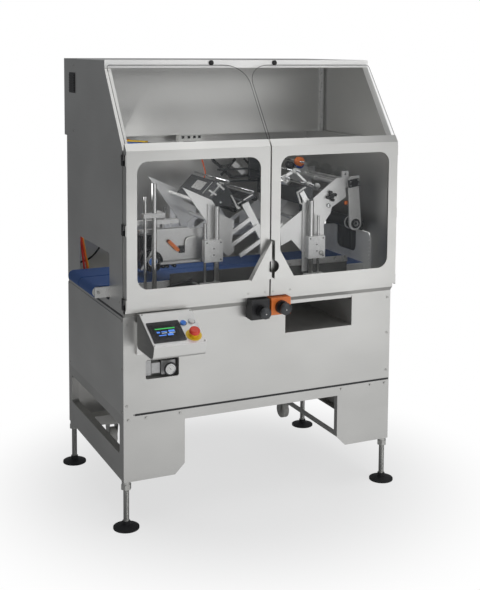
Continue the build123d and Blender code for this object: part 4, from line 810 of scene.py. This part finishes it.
# cables and hoses inside the housing: finish, radius and points; those at the rear ride the head
hoses = {
    "infeed_red": ("redCable", 4.5, [(-578, 640, 380), (-576, 610, 240), (-572, 575, 150),
                                     (-566, 560, 60)]),
    "infeed_orange": ("copper", 4.5, [(-570, 650, 380), (-568, 618, 240), (-562, 580, 150),
                                      (-552, 562, 60)]),
    "infeed_yellow": ("yellowCable", 3, [(-563, 655, 380), (-560, 622, 240), (-556, 590, 150),
                                         (-545, 566, 60)]),
    "infeed_hose": ("rubber", 4, [(-560, 700, 60), (-520, 640, 90), (-490, 600, 140),
                                  (-470, 580, 200)]),
    "hood_yellow": ("yellowCable", 4, [(-575, 640, 598), (-500, 645, 594), (-400, 650, 592),
                                       (-250, 655, 580)]),
    "hood_blue": ("blueCable", 4.5, [(-575, 652, 590), (-480, 655, 586), (-380, 660, 580),
                                     (-240, 662, 572)]),
    "hood_orange": ("copper", 3, [(-575, 640, 607), (-510, 642, 603), (-440, 648, 600),
                                  (-330, 655, 590)]),
    "rear_orange": ("copper", 3, [(-22, 590, 500), (-12, 592, 470), (-6, 590, 440),
                                  (-16, 588, 405)]),
    "rear_clear": ("blackGloss", 2, [(22, 590, 500), (40, 592, 480), (80, 590, 470),
                                     (130, 586, 478)]),
}
for name, (material, radius, points) in hoses.items():
    put(name, hose(points, radius), material, "head" if name.startswith("rear") else "machine",
        True)

# module in the hood, the cylinder and plate of the jointed rod, and the rail along the belt's
# front edge with a dark skirt of painted shade under it and blocks that carry both
bedPieces = {
    "hood_module": ("zinc", blocks, [(-109, 0, 640, 680, 560, 612)]),
    "hood_module_ports": ("black_plastic", blocks, [(x, x + 12, 638, 640, 590, 602)
                                                    for x in (-98, -70, -44, -20)]
                          + [(-90, -30, 638, 640, 566, 578)]),
    "linkage_cylinder": ("dark_metal", blocks, [(-322, -250, 128, 152, 20, 44)]),
    "linkage_plate": ("lightMetal", blocks, [(-245, -232, 120, 160, 0.2, 62)]),
    "belt_guide": ("lightMetal", blocks, [(70, 478, 176, 181, 86, 112)]),
    # painted shade: the dark skirt stands for the shade on the belt under the head
    "belt_skirt_painted_shade": ("skirtPaintedShade", blocks, [(-330, 478, 181, 183, 27.5, 92),
                                          (-330, 70, 178, 181, 60, 98)]
                   + [(x, x + 20, 183, 186, 40, 60) for x in (-300, 60, 420)]),
}
putGroup("machine", bedPieces)
linkage = {"thick": [(-356, 140, 52), (-330, 138, 60), (-300, 138, 66)], "thickRadius": 6,
           "thin": [(-300, 138, 66), (-270, 138, 72), (-252, 138, 80)], "thinRadius": 4}
put("linkage", joined([hose(linkage[part], linkage[part + "Radius"]) for part in
                       ("thick", "thin")]), "black_plastic", "machine", True)
bedKnob = {"profile": ((0, 0), (0.009, 0), (0.011, 0.010), (0.011, 0.016), (0, 0.020)),
           "place": (372, 150, 0.2)}
put("bed_knob", turned(bedKnob["profile"], atBed(*bedKnob["place"]), upward), "chrome",
    "machine", True)
print("cables done")

# grips on the knobs of the key switch and the door lock, each with a small mark
grips = {"key_switch": (-44, -25, 0.023), "door_lock": (43, -16, 0.024)}  # x, height and radius
gripBack, markDepth, markHalf, markUp = -77, (-107, -105.8), 2, (-4, -1)
for name, (x, up, radius) in grips.items():
    put(name + "_grip", turned([(0, 0), (radius * 0.55, 0), (radius * 0.55, 0.016),
                                (radius, 0.018), (radius, 0.026), (radius * 0.9, 0.029),
                                (0, 0.029)], atBed(x, gripBack, up), toFront, 24),
        "dark_metal", name, True)
    put(name + "_mark", blocks([(x - markHalf, x + markHalf, *markDepth, up + markUp[0],
                                 up + markUp[1])]), "white_plastic", name)

# black covers on the door halves of the hinges, and a dark line of painted shade in the gap
# beside each door's outer edge
hinges = {"bottoms": (0.852, 1.130, 1.388), "length": 0.040, "out": 0.004, "back": 0.014,
          "radius": 0.0049, "gap": 0.0008, "leafX": (0.5822, 0.5854),
          "leafY": (frontY - 0.033, frontY - 0.019)}
doorGapShade = {"x": (0.5842, 0.5847), "y": (frontY - 0.0005, frontY + 0.0035), "z": (0.860, 1.440)}
for side, body in ((-1, "left_door"), (1, "right_door")):
    pin = side * (rightX + hinges["out"]), frontY - hinges["back"]
    covers = []
    for low in hinges["bottoms"]:
        middle, top = low + hinges["length"] / 2 + hinges["gap"], low + hinges["length"]
        covers.append(turned([(0, 0), (hinges["radius"], 0), (hinges["radius"], top - middle),
                              (0, top - middle)], (*pin, middle), upward, 20))
        covers.append(boxes([sideBox(side, hinges["leafX"], hinges["leafY"], (low, top))]))
    put(body + "_hinge_covers", joined(covers), "black_plastic", body)
# painted shade in the gap behind each door
put("door_gap_shade_lines", boxes([sideBox(side, *doorGapShade.values()) for side in (-1, 1)]),
    "black_plastic", "machine")

# dark lines of painted shade along the visors' edges under the header, round their top corners
visor = {"face": -0.326, "eaves": 1.443, "lean": 0.92065, "start": 0.010, "length": 0.3882,
         "below": 0.0025, "above": 0.0004, "outer": 0.5795, "inner": {-1: 0.0005, 1: 0.0105},
         "bigCorner": 0.092, "smallCorner": 0.012, "line": 0.0011}


def onVisor(x, along):
    slope, drop = visor["lean"], visor["below"] - visor["above"]
    return Vector((x, visor["face"] + along * cos(slope) + drop * sin(slope),
                   visor["eaves"] + along * sin(slope) - drop * cos(slope)))


def arc(x, along, radius, start, stop, count):
    angles = [radians(start + (stop - start) * i / count) for i in range(count + 1)]
    return [(x + cos(angle) * radius, along + sin(angle) * radius) for angle in angles]


def visorOutline(side):
    inner, outer, top = visor["inner"][side], side * visor["outer"], visor["length"]
    big, small = visor["bigCorner"], visor["smallCorner"]
    near = arc(inner + side * big, top - big, big, 180 if side == 1 else 0, 90, 10)
    far = arc(outer - side * small, top - small, small, 90, 0 if side == 1 else 180, 3)
    return [(inner, visor["start"]), *near, *far, (outer, visor["start"])]


# painted shade along each visor's edge
for side, body in ((-1, "left_door"), (1, "right_door")):
    edge = [onVisor(*point) for point in visorOutline(side)]
    put(body + "_visor_edge_shade", pipe(edge, visor["line"], 6, (0.11, -0.6, 0.79)), "black_plastic",
        body, True)

# slatted vent high on the left side
vent = {"depth": (0.615, 0.700), "z": (1.628, 1.713), "plate": 0.002, "slats": 7, "first": 0.008,
        "step": 0.0105, "slat": 0.005, "proud": 0.005, "margin": 0.006}
near, far = (frontY + depth for depth in vent["depth"])
low, high = vent["z"]
ventSpans = [((leftX - vent["plate"], near, low), (leftX, far, high))]
for i in range(vent["slats"]):
    slat = low + vent["first"] + i * vent["step"]
    ventSpans.append(((leftX - vent["proud"], near + vent["margin"], slat),
                      (leftX - vent["plate"], far - vent["margin"], slat + vent["slat"])))
put("side_vent", boxes(ventSpans), "black_plastic", "machine")

# leaning slots in the hood's back wall
slots = {"count": 42, "start": -560, "step": 20, "low": 884, "lean": 5, "width": 2.5, "length": 14,
         "depth": (587.0, 587.6)}
slotOutlines = []
for i in range(slots["count"]):
    x, low = slots["start"] + i * slots["step"], slots["low"]
    high, lean, width = low + slots["length"], slots["lean"], slots["width"]
    slotOutlines.append((((x, low), (x + width, low), (x + width + lean, high), (x + lean, high)),
                         *slots["depth"]))
# dark strips in the gaps between the cabinet and the housing, painted shade over a black gasket, a
# post in the hood, rails at the base and a strip curtain at the outlet
housingPieces = {
    # painted shade in the gaps at the housing's sides, over a black gasket
    "side_gap_shade": ("black_plastic", blocks, [
        (*xs, *run, -12, -3.5) for xs in ((-584.8, -584.1), (584.1, 584.8))
        for run in ((2, 150), (156, 330), (350, 360), (560, 700), (706, 742))]),
    "hood_slots": ("zinc", slabs, slotOutlines),
    "hood_post": ("lightMetal", blocks, [(556, 572, 574, 587, 613, 908)]),
    "lower_rails": ("frame", slabs, [
        ([(side * x, up) for x, up in ((340, -590), (381, -639), (384, -636), (343, -587))], 4, 744)
        for side in (-1, 1)]),
    "outfeed_curtain": ("dark_metal", blocks, [(566, 567.5, depth, depth + 27, 105, 245)
                                               for depth in range(204, 520, 29)]
                        + [(563, 570, 200, 524, 243, 252)]),
}
putGroup("machine", housingPieces)
# black plate of painted shade inside the slit between the cabinet's front and the apron
baseSlitShade = {"x": (leftX + 0.046, rightX - 0.004), "y": (frontY - 0.0006, frontY - 0.0001),
            "z": (0.4385, 0.4465)}
# painted shade in the slit
put("base_slit_shade", boxes([sideBox(1, *baseSlitShade.values())]), "black_plastic", "machine")
print("housing pieces done")


# studio

lamps = {  # place, target, size and power
    "key": ((2.2, -3.7, 2.6), (0, 0, 1.7), (3.4, 1.1), 30),
    "low": ((1.6, -3.6, 0.55), (0, -0.3, 0.5), (3.0, 0.9), 10.5),
    "top": ((0.3, -0.8, 4.0), (0, 0.1, 1.0), (3.0, 2.4), 30),
    "inside": ((-0.42, 0.05, 1.40), (0.35, 0.05, 1.0), (0.4, 0.4), 1.6),
}
for name, (place, target, (wide, deep), energy) in lamps.items():
    lamp = bpy.data.lights.new(name, "AREA")
    lamp.shape = "RECTANGLE"
    lamp.size, lamp.size_y = wide, deep
    lamp.energy = energy
    holder = bpy.data.objects.new(name, lamp)
    holder.location = place
    holder.rotation_euler = (Vector(target) - Vector(place)).to_track_quat("-Z", "Y").to_euler()
    holder.visible_camera = False
    bpy.context.collection.objects.link(holder)

worldLook = {"color": (0.95, 0.97, 1.0), "level": 0.185}


def buildWorld():
    # soft light all round; the camera sees plain white
    world = bpy.data.worlds.new("studio")
    bpy.context.scene.world = world
    world.use_nodes = True
    tree = world.node_tree
    tree.nodes.clear()
    add, link = tree.nodes.new, tree.links.new
    rays = add("ShaderNodeLightPath")
    soft = add("ShaderNodeBackground")
    soft.inputs["Color"].default_value = (*worldLook["color"], 1)
    soft.inputs["Strength"].default_value = worldLook["level"]
    white = add("ShaderNodeBackground")
    white.inputs["Color"].default_value = (1, 1, 1, 1)
    mix = add("ShaderNodeMixShader")
    out = add("ShaderNodeOutputWorld")
    link(rays.outputs["Is Camera Ray"], mix.inputs["Fac"])
    link(soft.outputs[0], mix.inputs[1])
    link(white.outputs[0], mix.inputs[2])
    link(mix.outputs[0], out.inputs["Surface"])


floorLook = {"tone": 0.80, "lift": 0.66, "bounce": 0.8, "glow": 0.44, "glowFrom": -0.30,
             "glowTo": -0.80, "fadeStart": 0.45, "fadeEnd": 1.25, "reach": 14.0}


def buildFloor():
    # lit and shadowed near the machine and plain white further out; reflections see a grey
    # floor with a soft glow in front of the machine
    material = bpy.data.materials.new("studio floor")
    material.use_nodes = True
    tree = material.node_tree
    tree.nodes.clear()
    add, link = tree.nodes.new, tree.links.new

    def smoothRange(start, stop, top=1.0):
        node = add("ShaderNodeMapRange")
        node.interpolation_type = "SMOOTHSTEP"
        node.inputs["From Min"].default_value = start
        node.inputs["From Max"].default_value = stop
        node.inputs["To Max"].default_value = top
        return node

    def grey(tone):
        node = add("ShaderNodeBsdfDiffuse")
        node.inputs["Color"].default_value = (tone, tone, tone, 1)
        return node

    rays = add("ShaderNodeLightPath")
    place = add("ShaderNodeTexCoord")
    length = add("ShaderNodeVectorMath")
    length.operation = "LENGTH"
    fade = smoothRange(floorLook["fadeStart"], floorLook["fadeEnd"])
    lit, bounce = grey(floorLook["tone"]), grey(floorLook["bounce"])
    near = add("ShaderNodeMixShader")
    near.inputs["Fac"].default_value = floorLook["lift"]
    white = add("ShaderNodeEmission")
    white.inputs["Color"].default_value = (1, 1, 1, 1)
    split = add("ShaderNodeSeparateXYZ")
    inFront = smoothRange(floorLook["glowFrom"], floorLook["glowTo"], floorLook["glow"])
    glowing = add("ShaderNodeEmission")
    both = add("ShaderNodeAddShader")
    seen = add("ShaderNodeMixShader")
    whole = add("ShaderNodeMixShader")
    out = add("ShaderNodeOutputMaterial")
    link(place.outputs["Object"], split.inputs[0])
    link(split.outputs["Y"], inFront.inputs["Value"])
    link(inFront.outputs["Result"], glowing.inputs["Strength"])
    link(bounce.outputs[0], both.inputs[0])
    link(glowing.outputs[0], both.inputs[1])
    link(lit.outputs[0], near.inputs[1])
    link(white.outputs[0], near.inputs[2])
    link(place.outputs["Object"], length.inputs[0])
    link(length.outputs["Value"], fade.inputs["Value"])
    link(fade.outputs["Result"], seen.inputs["Fac"])
    link(near.outputs[0], seen.inputs[1])
    link(white.outputs[0], seen.inputs[2])
    link(rays.outputs["Is Camera Ray"], whole.inputs["Fac"])
    link(both.outputs[0], whole.inputs[1])
    link(seen.outputs[0], whole.inputs[2])
    link(whole.outputs[0], out.inputs["Surface"])
    reach = floorLook["reach"]
    mesh = bpy.data.meshes.new("floor")
    mesh.from_pydata([(-reach, -reach, 0), (reach, -reach, 0), (reach, reach, 0),
                      (-reach, reach, 0)], [], [(0, 1, 2, 3)])
    mesh.materials.append(material)
    floor = bpy.data.objects.new("floor", mesh)
    bpy.context.collection.objects.link(floor)


buildWorld()
buildFloor()

cameraSettings = {"place": (-1.8054, -3.9528, 1.8170), "yaw": 24.819, "pitch": -5.488,
                  "roll": 0.385, "focalPixels": 1056.22, "imageCentre": (240.0, 150.0),
                  "frame": (480, 590), "sensor": 36.0}


def placeCamera():
    yaw, pitch, roll = (radians(cameraSettings[key]) for key in ("yaw", "pitch", "roll"))
    ahead = Vector((sin(yaw) * cos(pitch), cos(yaw) * cos(pitch), sin(pitch)))
    right = Vector((cos(yaw), -sin(yaw), 0))
    above = right.cross(ahead)
    turnedRight = right * cos(roll) + above * sin(roll)
    turnedUp = above * cos(roll) - right * sin(roll)
    data = bpy.data.cameras.new("camera")
    wide, tall = cameraSettings["frame"]
    data.sensor_width = cameraSettings["sensor"]
    data.lens = cameraSettings["focalPixels"] / tall * data.sensor_width
    data.shift_x = -(cameraSettings["imageCentre"][0] - wide / 2) / tall
    data.shift_y = (cameraSettings["imageCentre"][1] - tall / 2) / tall
    data.clip_end = 50.0
    camera = bpy.data.objects.new("camera", data)
    camera.matrix_world = Matrix.Translation(cameraSettings["place"]) @ Matrix(
        (turnedRight, turnedUp, -ahead)).transposed().to_4x4()
    bpy.context.collection.objects.link(camera)
    bpy.context.scene.camera = camera


placeCamera()
bpy.context.scene.view_settings.view_transform = "Standard"
print("studio and camera ready")
